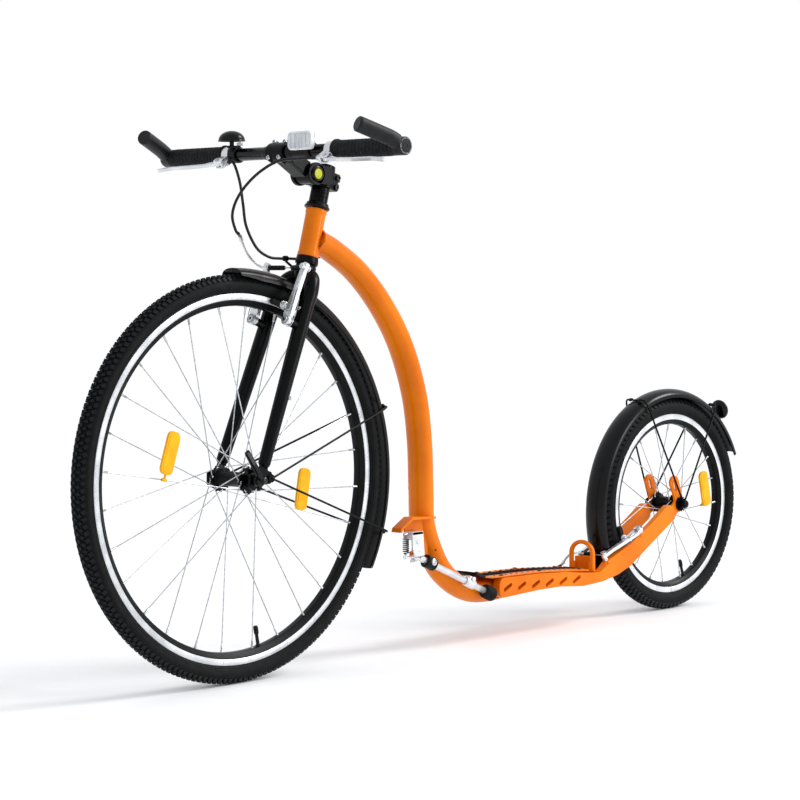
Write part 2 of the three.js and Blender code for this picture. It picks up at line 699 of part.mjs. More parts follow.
const headTube = steerRing(HEAD_TUBE, HEAD_TUBE.bore);
add("head_tube", headTube, ORANGE);
add("lower_cup", steerRing(LOWER_CUP, CUP_BORE), BLACK);
add("upper_cup", upperCup(), BLACK);
add("spacer_stack", steerRing(SPACERS, STEERER_BORE), BLACK);

// Frame
const tubeRod = (room) =>
  swept(TUBE_LINE, oval(TUBE_HALF_WIDE + room, TUBE_HALF_HIGH + room, TUBE_SIDES), TUBE_STEPS);

function mainTube() {
  const tube = tubeRod(0);
  const roomFrom = onSteer(HEAD_TUBE.from - OVER);
  const room = rod(roomFrom, onSteer(HEAD_TUBE.to + OVER), HEAD_TUBE.radius + GAP, ROUND_SIDES);
  return without(tube, room);
}

function sideMember(side) {
  const rail = plate(RAIL_OUTLINE, RAIL_INNER, RAIL_OUTER, side);
  const stay = plate(STAY_OUTLINE, STAY_INNER, STAY_OUTER, side);
  const slots = [];
  for (let i = 0; i < SLOT_COUNT; i += 1) {
    const spot = mix(SLOT_FIRST, SLOT_LAST, i / (SLOT_COUNT - 1));
    const outline = capsule(spot, SLOT.length, SLOT.width, SLOT.angle);
    slots.push(plate(outline, RAIL_INNER - OVER, RAIL_OUTER + OVER, side));
  }
  const pocketLow = [DROPOUT_TOP[0] - DROPOUT_WIDE * 2, DROPOUT.inner - GAP, 0];
  const pocketHigh = [DROPOUT_FOOT[0] + DROPOUT_NARROW + GAP, DROPOUT.outer + GAP, DROPOUT_TOP[1]];
  const pocketOutline = [
    [pocketLow[0], pocketLow[2]],
    [pocketHigh[0], pocketLow[2]],
    [pocketHigh[0], pocketHigh[2]],
    [pocketLow[0], pocketHigh[2]],
  ];
  const pocket = plate(pocketOutline, pocketLow[1], pocketHigh[1], side);
  return without(joined(rail, stay, brakeBoss(REAR_BRAKE, side)), slots, pocket);
}

// A strip of even thickness below a top line.
const strip = (top, thick) => [...top, ...top.map(([x, z]) => [x, z - thick]).reverse()];

// The height of a line that runs backward, at a place along the bike.
function heightOn(line, x) {
  const i = line.findIndex(([lineX]) => lineX <= x);
  const [ahead, behind] = [line[i - 1], line[i]];
  return mix(ahead, behind, (x - ahead[0]) / (behind[0] - ahead[0]))[1];
}

function deckPlate() {
  const sheet = plate(strip(DECK_TOP, DECK_THICK), -DECK_HALF_WIDE, DECK_HALF_WIDE);
  const ribs = [];
  for (let i = 0; i < RIB_COUNT; i += 1) {
    const x = RIB.first + ((RIB.last - RIB.first) * i) / (RIB_COUNT - 1);
    const z = heightOn(DECK_TOP, x);
    const low = [x - RIB.length / 2, -RIB.halfWide, z - RIB.sink];
    ribs.push(box(low, [x + RIB.length / 2, RIB.halfWide, z + RIB.height]));
  }
  return joined(sheet, ribs);
}

function rearHoop() {
  const line = [];
  line.push([HOOP.x, -HOOP.half, HOOP.foot], [HOOP.x, -HOOP.half, HOOP.middle]);
  for (let i = 0; i <= HOOP_ARCH_STEPS; i += 1) {
    const angle = Math.PI * (1 - i / HOOP_ARCH_STEPS);
    line.push([HOOP.x, HOOP.half * Math.cos(angle), HOOP.top + HOOP.arch * Math.sin(angle)]);
  }
  line.push([HOOP.x, HOOP.half, HOOP.middle], [HOOP.x, HOOP.half, HOOP.foot]);
  const section = oval(HOOP.depth / 2, HOOP.thick / 2, WIRE_SIDES);
  const hoop = swept(line, section, HOOP_STEPS);
  const low = [CROSS_PLATE.back, -CROSS_PLATE.half, CROSS_PLATE.bottom];
  const cross = box(low, [CROSS_PLATE.front, CROSS_PLATE.half, CROSS_PLATE.top]);
  const curve = [];
  for (let i = 0; i <= SADDLE_STEPS; i += 1) {
    const share = (2 * i) / SADDLE_STEPS - 1;
    curve.push([SADDLE.x - SADDLE.sag * Math.cos((share * Math.PI) / 2), SADDLE.half * share]);
  }
  const outline = [...curve, ...curve.map(([x, y]) => [x - SADDLE.thick, y]).reverse()];
  const middle = (SADDLE.bottom + SADDLE.top) / 2;
  const saddle = slab(outline, [0, 0, middle], [1, 0, 0], SIDEWAYS, SADDLE.top - SADDLE.bottom);
  const tabs = [LEFT, RIGHT].map((side) => {
    const outline = [
      [HOOP_TAB.front, HOOP_TAB.bottom],
      [HOOP_TAB.front, HOOP_TAB.top],
      [HOOP_TAB.back, HOOP_TAB.top],
      [HOOP_TAB.back, HOOP_TAB.bottom],
    ];
    return plate(outline, HOOP_TAB.inner, HOOP_TAB.outer, side);
  });
  return joined(hoop, cross, saddle, tabs);
}

function dropout(side) {
  const disc = ([x, z], radius) => {
    const foot = [x, DROPOUT.inner * side, z];
    return rod(foot, [x, DROPOUT.outer * side, z], radius, ROD_SIDES);
  };
  const link = (a, b, ra, rb) => plate(band(a, b, ra, rb), DROPOUT.inner, DROPOUT.outer, side);
  const body = joined(
    disc(DROPOUT_AXLE, DROPOUT_WIDE),
    disc(DROPOUT_TOP, DROPOUT_WIDE),
    disc(DROPOUT_FOOT, DROPOUT_NARROW),
    link(DROPOUT_AXLE, DROPOUT_TOP, DROPOUT_WIDE, DROPOUT_WIDE),
    link(DROPOUT_FOOT, DROPOUT_AXLE, DROPOUT_NARROW, DROPOUT_WIDE),
  );
  const slot = capsule(EAR_SLOT_SPOT, EAR_SLOT.length, EAR_SLOT.width, EAR_SLOT.angle);
  const hole = rod(
    [DROPOUT_AXLE[0], (DROPOUT.inner - OVER) * side, DROPOUT_AXLE[1]],
    [DROPOUT_AXLE[0], (DROPOUT.outer + OVER) * side, DROPOUT_AXLE[1]],
    BORE_RADIUS,
    ROD_SIDES,
  );
  return without(body, plate(slot, DROPOUT.inner - OVER, DROPOUT.outer + OVER, side), hole);
}

// A nut between two places on an axle through a point.
const nut = (part, side, [x, , z]) =>
  rod([x, part.from * side, z], [x, part.to * side, z], part.radius, NUT_SIDES);

function rearAxle() {
  const [x, , z] = REAR_WHEEL.centre;
  const pin = rod([x, -REAR_CAP.to, z], [x, REAR_CAP.to, z], AXLE_RADIUS, ROD_SIDES);
  const ends = [LEFT, RIGHT].flatMap((side) => [
    nut(REAR_NUT, side, REAR_WHEEL.centre),
    nut(REAR_CAP, side, REAR_WHEEL.centre),
  ]);
  return joined(pin, ends);
}

add("main_tube", mainTube(), ORANGE);
add("side_member_left", sideMember(LEFT), ORANGE);
add("side_member_right", sideMember(RIGHT), ORANGE);
add("deck_plate", deckPlate(), PLASTIC);
add("rear_hoop", rearHoop(), ORANGE);
add("dropout_left", dropout(LEFT), ORANGE);
add("dropout_right", dropout(RIGHT), ORANGE);
add("rear_axle", rearAxle(), BLACK);

// Brakes
function brakeFrame(site, side) {
  const pivot = onSide(side)(site.pivot);
  const outward = [0, side, 0];
  const across = vector(outward).cross(vector(site.along)).toArray();
  return { pivot, outward, across };
}

// Where an arm crosses the middle of its rim's track.
function padSpot(site, side) {
  const { pivot } = brakeFrame(site, side);
  const { centre } = site.wheel;
  const radius = (trackInner(site.wheel) + rimOuter(site.wheel)) / 2;
  const start = vector([pivot[0] - centre[0], 0, pivot[2] - centre[2]]);
  const along = vector(site.along);
  const b = start.dot(along);
  const reach = Math.sqrt(b * b - start.lengthSq() + radius * radius) - b;
  const out = start.addScaledVector(along, reach);
  const spot = [centre[0] + out.x, 0, centre[2] + out.z];
  return { spot, radial: out.normalize() };
}

function brakeArm(site, side) {
  const { pivot, outward, across } = brakeFrame(site, side);
  const local = (a, b, c = 0) => sum(sum(sum(pivot, outward, a), site.along, b), across, c);
  const eye = rod(local(0, 0, -site.thick / 2), local(0, 0, site.thick / 2), ARM_EYE_RADIUS, ROD_SIDES);
  const outline = [[ARM_EYE_RADIUS, 0], ...site.outline, [-ARM_EYE_RADIUS, 0]];
  const bar = slab(outline, pivot, outward, site.along, site.thick);
  const bore = rod(local(0, 0, -site.thick), local(0, 0, site.thick), ARM_BORE, ROD_SIDES);
  const { spot, radial } = padSpot(site, side);
  const padMiddle = site.wheel.rimHalfWidth + PAD.clear + PAD.thick / 2;
  const tangent = [-radial.z, 0, radial.x];
  const padOutline = roundedBox(PAD.length, PAD.height, PAD.corner);
  const padAt = [spot[0], padMiddle * side, spot[2]];
  const pad = slab(padOutline, padAt, tangent, radial.toArray(), PAD.thick);
  const postFrom = [spot[0], padMiddle * side, spot[2]];
  const post = rod(postFrom, [spot[0], (site.pivot[1] + OVER) * side, spot[2]], PAD_POST, ROD_SIDES);
  const [clampA, clampB] = site.clamp;
  const clampFrom = local(clampA, clampB, -CLAMP_HALF);
  const clamp = rod(clampFrom, local(clampA, clampB, CLAMP_HALF), CLAMP_RADIUS, ROD_SIDES);
  const body = joined(without(joined(eye, bar), bore), post, pad, clamp);
  if (side === LEFT) return body;
  const head = local(clampA, clampB);
  const roomFrom = sum(head, outward, -PAD.length);
  const room = rod(roomFrom, sum(head, outward, PAD.length), NOODLE_BORE, WIRE_SIDES);
  return without(body, room);
}

// The bare wire from the left arm's clamp into the boot.
function brakeWire(site, boot) {
  const { pivot, outward } = brakeFrame(site, LEFT);
  const clamp = sum(sum(pivot, outward, site.clamp[0]), site.along, site.clamp[1]);
  return rod(clamp, [clamp[0], boot.wireTo, clamp[2]], BRAKE_WIRE, WIRE_SIDES);
}

// The boss that an arm turns on, its collar and its bolt head.
function brakeBoss(site, side) {
  const { pivot } = brakeFrame(site, side);
  const ahead = Math.sign(site.bossFoot);
  const normal = [site.along[2] * ahead, 0, -site.along[0] * ahead];
  const length = Math.abs(site.bossFoot);
  const half = site.thick / 2;
  const point = (distance) => sum(pivot, normal, distance);
  return joined(
    rod(point(-length), point(half + GAP + BOSS_HEAD.height), BOSS_RADIUS, ROD_SIDES),
    rod(point(-length), point(-half - GAP), BOSS_COLLAR, ROD_SIDES),
    rod(point(half + GAP), point(half + GAP + BOSS_HEAD.height), BOSS_HEAD.radius, NUT_SIDES),
  );
}

const wiredArm = (site, boot) => joined(brakeArm(site, LEFT), brakeWire(site, boot));

add("front_brake_arm_left", wiredArm(FRONT_BRAKE, FRONT_BOOT), SILVER);
add("front_brake_arm_right", brakeArm(FRONT_BRAKE, RIGHT), SILVER);
add("rear_brake_arm_left", wiredArm(REAR_BRAKE, REAR_BOOT), SILVER);
add("rear_brake_arm_right", brakeArm(REAR_BRAKE, RIGHT), SILVER);

// Fork
const alongLeg = (side, share) => onSide(side)(mix(LEG_TOP, LEG_FOOT, share));

function forkTip(side) {
  const body = plate(FORK_TIP_OUTLINE, FORK_TIP.inner, FORK_TIP.outer, side);
  const [x, , z] = FRONT_WHEEL.centre;
  const slotOutline = [
    [x - TIP_SLOT.halfWide, z],
    [x - TIP_SLOT.halfWide, z - TIP_SLOT.reach],
    [x + TIP_SLOT.halfWide, z - TIP_SLOT.reach],
    [x + TIP_SLOT.halfWide, z],
  ];
  const slot = plate(slotOutline, FORK_TIP.inner - OVER, FORK_TIP.outer + OVER, side);
  const hole = rod(
    [x, (FORK_TIP.inner - OVER) * side, z],
    [x, (FORK_TIP.outer + OVER) * side, z],
    BORE_RADIUS,
    ROD_SIDES,
  );
  return without(body, slot, hole);
}

function forkLeg(side) {
  const shoulder = swept(
    LEG_SHOULDER.map(onSide(side)),
    oval(SHOULDER_RADIUS, SHOULDER_RADIUS, ROD_SIDES),
    SHOULDER_STEPS,
  );
  const leg = rod(alongLeg(side, 0), alongLeg(side, 1), LEG_TOP_RADIUS, ROD_SIDES, LEG_FOOT_RADIUS);
  const screws = LEG_SCREW_SHARES.map((share, i) => {
    const middle = alongLeg(side, share);
    const tip = sum(middle, onSide(side)(LEG_SCREW_WAYS[i]), LEG_SCREW.reach);
    return rod(middle, tip, LEG_SCREW.radius, NUT_SIDES);
  });
  return joined(shoulder, leg, forkTip(side), brakeBoss(FRONT_BRAKE, side), screws);
}

// The ring that holds the rear brake cable beside the crown.
function cableClip() {
  const { at, way, foot, radius, half, bore, arm } = CABLE_CLIP;
  const clip = ring(radius, bore, -half, half, at, way, ROD_SIDES);
  const armTop = sum(at, UPRIGHT, arm / 2 - radius);
  return joined(clip, rod(foot, armTop, arm, NUT_SIDES));
}

function fork() {
  const steerer = rod(onSteer(CROWN_RACE.from), onSteer(STEERER_TOP), STEERER_RADIUS, ROUND_SIDES);
  const race = rod(onSteer(CROWN_RACE.from), onSteer(CROWN_RACE.to), CROWN_RACE.radius, ROUND_SIDES);
  return joined(steerer, race, forkLeg(LEFT), forkLeg(RIGHT), cableClip());
}

function frontAxle() {
  const [x, , z] = FRONT_WHEEL.centre;
  const pin = rod([x, -AXLE_NUT.to, z], [x, CAM_CUP.to, z], AXLE_RADIUS, ROD_SIDES);
  const cup = rod([x, CAM_CUP.from, z], [x, CAM_CUP.to, z], CAM_CUP.radius, ROD_SIDES);
  return joined(pin, cup, nut(AXLE_NUT, RIGHT, FRONT_WHEEL.centre));
}

function quickRelease() {
  const [x, , z] = FRONT_WHEEL.centre;
  const at = [x, CAM.y, z];
  const hinge = vector(CAM_ARM).cross(vector(SIDEWAYS)).toArray();
  const cam = rod(sum(at, hinge, -CAM.half), sum(at, hinge, CAM.half), CAM.radius, ROD_SIDES);
  return joined(cam, slab(LEVER_SHAPE, at, CAM_ARM, SIDEWAYS, LEVER_THICK));
}

add("fork", fork(), BLACK);
add("front_axle", frontAxle(), SILVER);
add("quick_release_lever", quickRelease(), BLACK);

// Brake noodles with their boots
function noodle(site, boot, line) {
  const { pivot, outward } = brakeFrame(site, RIGHT);
  const clamp = sum(sum(pivot, outward, site.clamp[0]), site.along, site.clamp[1]);
  const at = [clamp[0], 0, clamp[2]];
  const sleeve = ring(BOOT.radius, BOOT.bore, boot.to, boot.from, at, SIDEWAYS, ROD_SIDES);
  const plug = rod([at[0], boot.to, at[2]], [at[0], boot.to - OVER, at[2]], BOOT.radius, ROD_SIDES);
  const route = [[at[0], boot.to, at[2]], [at[0], clamp[1] - CLAMP_RADIUS, at[2]], ...line];
  return joined(sleeve, plug, cord(route, NOODLE_RADIUS, NOODLE_STEPS));
}

// Fenders
function fenderSection(part) {
  const outer = [];
  for (let i = 0; i <= FENDER_STEPS; i += 1) {
    const angle = (Math.PI * i) / FENDER_STEPS;
    outer.push([part.half * Math.cos(angle), part.drop * (Math.sin(angle) - 1)]);
  }
  const inner = outer.map(([a, b]) => [a * (1 - part.thick / part.half), b - part.thick]);
  inner[0][1] = outer[0][1];
  inner[FENDER_STEPS][1] = outer[FENDER_STEPS][1];
  return [...outer, ...inner.reverse()];
}

function arcLine(part, from, to, count) {
  const line = [];
  for (let i = 0; i <= count; i += 1) {
    const angle = from + ((to - from) * i) / count;
    line.push(polar(part.centre, part.radius, angle));
  }
  return line;
}

function fender(part, from) {
  return swept(arcLine(part, from, part.to, part.steps / 2), fenderSection(part), part.steps);
}

// The front fender with the post that hangs it under the fork's crown.
function frontFender() {
  const top = onSteer(FENDER_POST.top);
  const post = rod(top, sum(top, STEER_UP, -FENDER_POST.reach), FENDER_POST.radius, WIRE_SIDES);
  return joined(fender(FRONT_FENDER, FRONT_FENDER.from), post);
}

const rearFenderFrom = -Math.asin((REAR_FENDER.centre[1] - CROSS_PLATE.top - GAP) / REAR_FENDER.radius);

// One wire from each side's eye, round the outside of the fender to the other side.
function fenderStay(part, eye, angles, bore, lift) {
  const eyes = [LEFT, RIGHT].map((side) => {
    const [x, y, z] = onSide(side)(eye);
    const half = (STAY_EYE.thick / 2) * side;
    return rod([x, y - half, z], [x, y + half, z], STAY_EYE.radius, ROD_SIDES);
  });
  const over = part.radius + STAY_WIRE + GAP;
  const low = part.radius - part.drop - STAY_WIRE;
  const wires = angles.flatMap((angle) => {
    const edge = (side) => polar(part.centre, low, angle, STAY_SPREAD * side);
    const corner = (side) => polar(part.centre, over, angle, (STAY_SPREAD - STAY_CORNER) * side);
    const arch = [edge(LEFT), corner(LEFT), polar(part.centre, over, angle), corner(RIGHT), edge(RIGHT)];
    const foot = [eye[0], eye[1] + lift, eye[2]];
    const legs = [LEFT, RIGHT].map((side) => rod(onSide(side)(foot), edge(side), STAY_WIRE, NUT_SIDES));
    return [swept(arch, oval(STAY_WIRE, STAY_WIRE, NUT_SIDES), ARCH_STEPS), ...legs];
  });
  const body = joined(eyes, wires);
  if (!bore) return body;
  const reach = eye[1] + STAY_EYE.thick;
  return without(body, rod([eye[0], -reach, eye[2]], [eye[0], reach, eye[2]], bore, ROD_SIDES));
}

function tailReflector() {
  const at = polar(REAR_FENDER.centre, REAR_FENDER.radius + TAIL_REFLECTOR.lift, TAIL_REFLECTOR.angle);
  const face = TAIL_REFLECTOR.depth / 2;
  const cup = [
    [0, -face],
    [TAIL_REFLECTOR.radius - TAIL_REFLECTOR.lip * 2, -face],
    [TAIL_REFLECTOR.radius, -face + TAIL_REFLECTOR.lip * 2],
    [TAIL_REFLECTOR.radius, face - TAIL_REFLECTOR.lip],
    [TAIL_REFLECTOR.radius - TAIL_REFLECTOR.lip, face],
    [0, face],
  ];
  const lens = turned(cup, at, TAIL_FACING, ROUND_SIDES);
  const footRadius = REAR_FENDER.radius + GAP + TAIL_BRACKET.thick / 2;
  const foot = polar(REAR_FENDER.centre, footRadius, TAIL_BRACKET.angle);
  const radial = [Math.cos(TAIL_BRACKET.angle), 0, Math.sin(TAIL_BRACKET.angle)];
  const tangent = [-radial[2], 0, radial[0]];
  const outline = roundedBox(TAIL_BRACKET.half * 2, TAIL_BRACKET.half * 2, TAIL_BRACKET.half / 2);
  const base = slab(outline, foot, tangent, SIDEWAYS, TAIL_BRACKET.thick);
  return joined(lens, rod(foot, at, TAIL_BRACKET.half / 2, WIRE_SIDES), base);
}

const frontStay = fenderStay(FRONT_FENDER, FRONT_STAY_EYE, FRONT_STAY_ANGLES, 0, FRONT_STAY_LIFT);
const rearStay = fenderStay(REAR_FENDER, REAR_STAY_EYE, REAR_STAY_ANGLES, BORE_RADIUS, 0);

add("front_brake_noodle", noodle(FRONT_BRAKE, FRONT_BOOT, FRONT_NOODLE), BLACK);
add("rear_brake_noodle", noodle(REAR_BRAKE, REAR_BOOT, REAR_NOODLE), SILVER);
add("front_fender", frontFender(), BLACK);
add("rear_fender", fender(REAR_FENDER, rearFenderFrom), BLACK);
add("front_fender_stay", frontStay, BLACK);
add("rear_fender_stay", rearStay, BLACK);
add("rear_reflector", tailReflector(), BLACK);

// Stem
const acrossRod = ([x, , z], from, to, radius, sides) => rod([x, from, z], [x, to, z], radius, sides);

function stemBase() {
  const collar = rod(onSteer(STEM_BASE.from), onSteer(STEM_BASE.to), STEM_BASE.radius, ROUND_SIDES);
  const body = acrossRod(PIVOT, -STEM_BASE.cheekOuter, STEM_BASE.cheekOuter, STEM_BASE.cheek, ROUND_SIDES);
  const middle = onSteer((STEM_BASE.from + STEM_BASE.to) / 2);
  const outline = band(flat(middle), flat(PIVOT), STEM_BASE.below, STEM_BASE.below);
  const link = plate(outline, -STEM_BASE.cheekOuter, STEM_BASE.cheekOuter);
  const behind = (height, reach) => flat(sum(onSteer(height), STEER_BACK, reach));
  const back = plate(
    [
      behind(STEM_BACK.low, 0),
      behind(STEM_BACK.high, 0),
      behind(STEM_BACK.high, STEM_BACK.reach),
      behind(STEM_BACK.low, STEM_BACK.reach),
    ],
    -STEM_BACK.half,
    STEM_BACK.half,
  );
  const bolts = BACK_BOLT.heights.map((height) => {
    const at = sum(onSteer(height), STEER_BACK, BACK_BOLT.reach);
    return acrossRod(at, -BACK_BOLT.half, BACK_BOLT.half, BACK_BOLT.radius, WIRE_SIDES);
  });
  const bore = rod(onSteer(STEM_BASE.from - OVER), onSteer(STEM_BASE.to + OVER), STEERER_BORE, ROUND_SIDES);
  const room = acrossRod(PIVOT, -ARM_ROOM.half, ARM_ROOM.half, ARM_ROOM.radius, ROUND_SIDES);
  const ahead = [
    [PIVOT[0], PIVOT[2] - ARM_ROOM.radius],
    [PIVOT[0] + ARM_ROOM.radius * 2, PIVOT[2] - ARM_ROOM.radius],
    [PIVOT[0] + ARM_ROOM.radius * 2, PIVOT[2] + ARM_ROOM.radius * 2],
    [PIVOT[0] - ARM_ROOM.radius * 2, PIVOT[2] + ARM_ROOM.radius * 2],
    [PIVOT[0] - ARM_ROOM.radius * 2, PIVOT[2]],
    [PIVOT[0], PIVOT[2]],
  ];
  const mouth = plate(ahead, -ARM_ROOM.half, ARM_ROOM.half);
  const pin = acrossRod(PIVOT, -STEM_BASE.radius * 2, STEM_BASE.radius * 2, PIN_RADIUS + GAP, ROD_SIDES);
  return without(joined(collar, body, link, back, bolts), bore, room, mouth, pin);
}

function stemPivotCap() {
  const pin = acrossRod(PIVOT, -PIVOT_CAP.to, PIVOT_CAP.to, PIN_RADIUS, ROD_SIDES);
  const caps = [LEFT, RIGHT].map((side) =>
    acrossRod(PIVOT, PIVOT_CAP.from * side, PIVOT_CAP.to * side, PIVOT_CAP.radius, ROUND_SIDES),
  );
  return joined(pin, caps);
}

function stemArm() {
  const knuckle = acrossRod(PIVOT, -STEM_ARM.half, STEM_ARM.half, STEM_ARM.knuckle, ROUND_SIDES);
  const clamp = acrossRod(BAR_CENTRE, -STEM_ARM.clampHalf, STEM_ARM.clampHalf, STEM_ARM.clamp, ROUND_SIDES);
  const outline = band(flat(PIVOT), flat(BAR_CENTRE), STEM_ARM.knuckle - OVER, STEM_ARM.waist);
  const neck = plate(outline, -STEM_ARM.half, STEM_ARM.half);
  const clear = STEM_ARM.clampHalf * 2;
  const barRoom = acrossRod(BAR_CENTRE, -clear, clear, STEM_BORE, ROUND_SIDES);
  const pinHalf = STEM_ARM.half * 2;
  const pinRoom = acrossRod(PIVOT, -pinHalf, pinHalf, PIN_RADIUS + TURN_GAP, ROD_SIDES);
  return without(joined(knuckle, clamp, neck), barRoom, pinRoom);
}

add("stem_base", stemBase(), BLACK);
add("stem_pivot_cap", stemPivotCap(), LIME);
add("stem_arm", stemArm(), BLACK);

// Handlebar
function handlebar() {
  const half = [[BAR.bulge, BAR.bulgeHalf], [BAR.radius, BAR.taper], [BAR.radius, BAR.half], [0, BAR.half]];
  const outline = [...half.map(([r, y]) => [r, -y]).reverse(), ...half];
  return turned(outline, BAR_CENTRE, SIDEWAYS, ROUND_SIDES);
}

function grip(side) {
  const outline = [
    [BAR_BORE, GRIP.from],
    [GRIP.flange, GRIP.from],
    [GRIP.flange, GRIP.flangeTo],
    [GRIP.radius, GRIP.flangeTo + OVER],
    [GRIP.radius, GRIP_TO],
    [BAR_BORE, GRIP_TO],
    [BAR_BORE, GRIP.from],
  ];
  return turned(outline, BAR_CENTRE, [0, side, 0], ROUND_SIDES);
}

function barEnd(side) {
  const clamp = rod(
    [BAR_CENTRE[0], HORN_FROM * side, BAR_CENTRE[2]],
    [BAR_CENTRE[0], HORN_TO * side, BAR_CENTRE[2]],
    HORN.clamp,
    ROUND_SIDES,
  );
  const horn = swept(HORN_LINE.map(onSide(side)), oval(HORN.radius, HORN.radius, ROD_SIDES), HORN_STEPS);
  const barTo = (BAR.half + GAP) * side;
  const room = acrossRod(BAR_CENTRE, (HORN_FROM - OVER * 2) * side, barTo, BAR_BORE, ROUND_SIDES);
  const gripFrom = (GRIP_TO - HORN.clamp) * side;
  const gripRoom = acrossRod(BAR_CENTRE, gripFrom, HORN_FROM * side, GRIP.flange, ROUND_SIDES);
  return without(joined(clamp, horn), room, gripRoom);
}

// A point near the handlebar by its place across, its reach to the lever and its rise.
const nearBar = (side, across, reach, rise = 0) =>
  sum(sum([BAR_CENTRE[0], across * side, BAR_CENTRE[2]], REACH, reach), RISE, rise);

function leverSlab(outline, side, thick) {
  return slab(outline, BAR_CENTRE, [0, side, 0], REACH, thick);
}

function leverBracket(side) {
  const { ring: outer, from, to, inner, outer: end, near, step, far, half } = BRACKET;
  const clamp = rod(nearBar(side, from, 0), nearBar(side, to, 0), outer, ROUND_SIDES);
  const outline = [[inner, near], [to, near], [to, step], [end, step], [end, far], [inner, far]];
  const body = leverSlab(outline, side, half * 2);
  const slotOutline = [
    [BRACKET_SLOT.from, BRACKET_SLOT.near],
    [end * 2, BRACKET_SLOT.near],
    [end * 2, far * 2],
    [BRACKET_SLOT.from, far * 2],
  ];
  const slot = leverSlab(slotOutline, side, BRACKET_SLOT.half * 2);
  const bore = rod(nearBar(side, inner - OVER, 0), nearBar(side, end, 0), BAR_BORE, ROUND_SIDES);
  const { across, reach, radius } = LEVER_PIVOT;
  const pinFoot = nearBar(side, across, reach, -half - GAP);
  const pin = rod(pinFoot, nearBar(side, across, reach, half + GAP), radius, WIRE_SIDES);
  const start = nearBar(side, inner + OVER, BARREL.reach);
  const barrel = rod(start, nearBar(side, inner - BARREL.length, BARREL.reach), BARREL.radius, WIRE_SIDES);
  return joined(without(joined(clamp, body), slot, bore), pin, barrel);
}

function brakeLever(side) {
  const { across, reach, radius } = LEVER_PIVOT;
  const blade = leverSlab(BLADE, side, BLADE_THICK);
  const pin = rod(
    nearBar(side, across, reach, -BLADE_THICK),
    nearBar(side, across, reach, BLADE_THICK),
    radius + GAP,
    WIRE_SIDES,
  );
  return without(blade, pin);
}

const strikerSpot = () => ({
  y: BELL.y + STRIKER.aside,
  z: (BELL_BASE.from + BELL_BASE.to) / 2 + STRIKER.lift,
});

function bell() {
  const at = [BAR_CENTRE[0], BELL.y, BAR_CENTRE[2]];
  const clamp = ring(BELL.ring, BAR_BORE, -BELL.half, BELL.half, at, SIDEWAYS, ROUND_SIDES);
  const foot = [BAR_CENTRE[0] + BELL.postAhead, BELL.y, BAR_CENTRE[2] + BELL.ring * POST_SHARE];
  const top = DOME.base + DOME.rise - DOME.wall / 2;
  const post = rod(foot, [foot[0], foot[1], top], BELL.postRadius, WIRE_SIDES);
  const plateLow = [foot[0], BELL.y, BELL_BASE.from];
  const base = rod(plateLow, [foot[0], BELL.y, BELL_BASE.to], BELL_BASE.radius, ROD_SIDES);
  const outer = [];
  const inner = [];
  for (let i = 0; i <= DOME.steps; i += 1) {
    const angle = ((Math.PI / 2) * i) / DOME.steps;
    outer.push([DOME.half * Math.cos(angle), DOME.rise * Math.sin(angle)]);
    inner.push([(DOME.half - DOME.wall) * Math.cos(angle), (DOME.rise - DOME.wall) * Math.sin(angle)]);
  }
  outer[DOME.steps][0] = 0;
  inner[DOME.steps][0] = 0;
  const shell = [...outer, ...inner.reverse(), outer[0]];
  const dome = turned(shell, [foot[0], BELL.y, DOME.base], UPRIGHT, ROUND_SIDES);
  const { post: pinRadius, half } = STRIKER;
  const { y, z } = strikerSpot();
  const pinFrom = [foot[0], y, z - half - GAP - OVER];
  const pin = rod(pinFrom, [foot[0], y, z + half + GAP], pinRadius, WIRE_SIDES);
  const arm = rod([foot[0], BELL.y, pinFrom[2]], pinFrom, OVER, WIRE_SIDES);
  const bore = acrossRod(at, BELL.y - BELL.half * 2, BELL.y + BELL.half * 2, BAR_BORE, ROUND_SIDES);
  return without(joined(clamp, post, base, dome, pin, arm), bore);
}

function bellStriker() {
  const { radius, length, knobRadius, bore, ring: outer, half } = STRIKER;
  const { y, z } = strikerSpot();
  const at = [BAR_CENTRE[0] + BELL.postAhead, y, z];
  const eye = ring(outer, bore, -half, half, at, UPRIGHT, ROD_SIDES);
  const start = sum(at, STRIKER_WAY, outer - radius / 2);
  const tip = sum(at, STRIKER_WAY, outer + length);
  const arm = rod(start, tip, radius, WIRE_SIDES);
  const knob = rod(sum(tip, UPRIGHT, -knobRadius), sum(tip, UPRIGHT, knobRadius), knobRadius, WIRE_SIDES);
  return joined(eye, arm, knob);
}

function frontReflector() {
  const at = [LAMP.x, LAMP.y, LAMP.z];
  const lens = slab(roundedBox(LAMP.width, LAMP.height, LAMP.corner), at, SIDEWAYS, UPRIGHT, LAMP.thick);
  const from = LAMP.y - LAMP_CLAMP.half;
  const clamp = acrossRod(BAR_CENTRE, from, LAMP.y + LAMP_CLAMP.half, LAMP_CLAMP.ring, ROUND_SIDES);
  const neck = box(
    [BAR_CENTRE[0], LAMP.y - LAMP_NECK.half, BAR_CENTRE[2]],
    [LAMP.x, LAMP.y + LAMP_NECK.half, BAR_CENTRE[2] + LAMP_NECK.thick * 2],
  );
  const bore = acrossRod(BAR_CENTRE, LAMP.y - LAMP.width, LAMP.y + LAMP.width, BAR_BORE, ROUND_SIDES);
  return without(joined(lens, clamp, neck), bore);
}

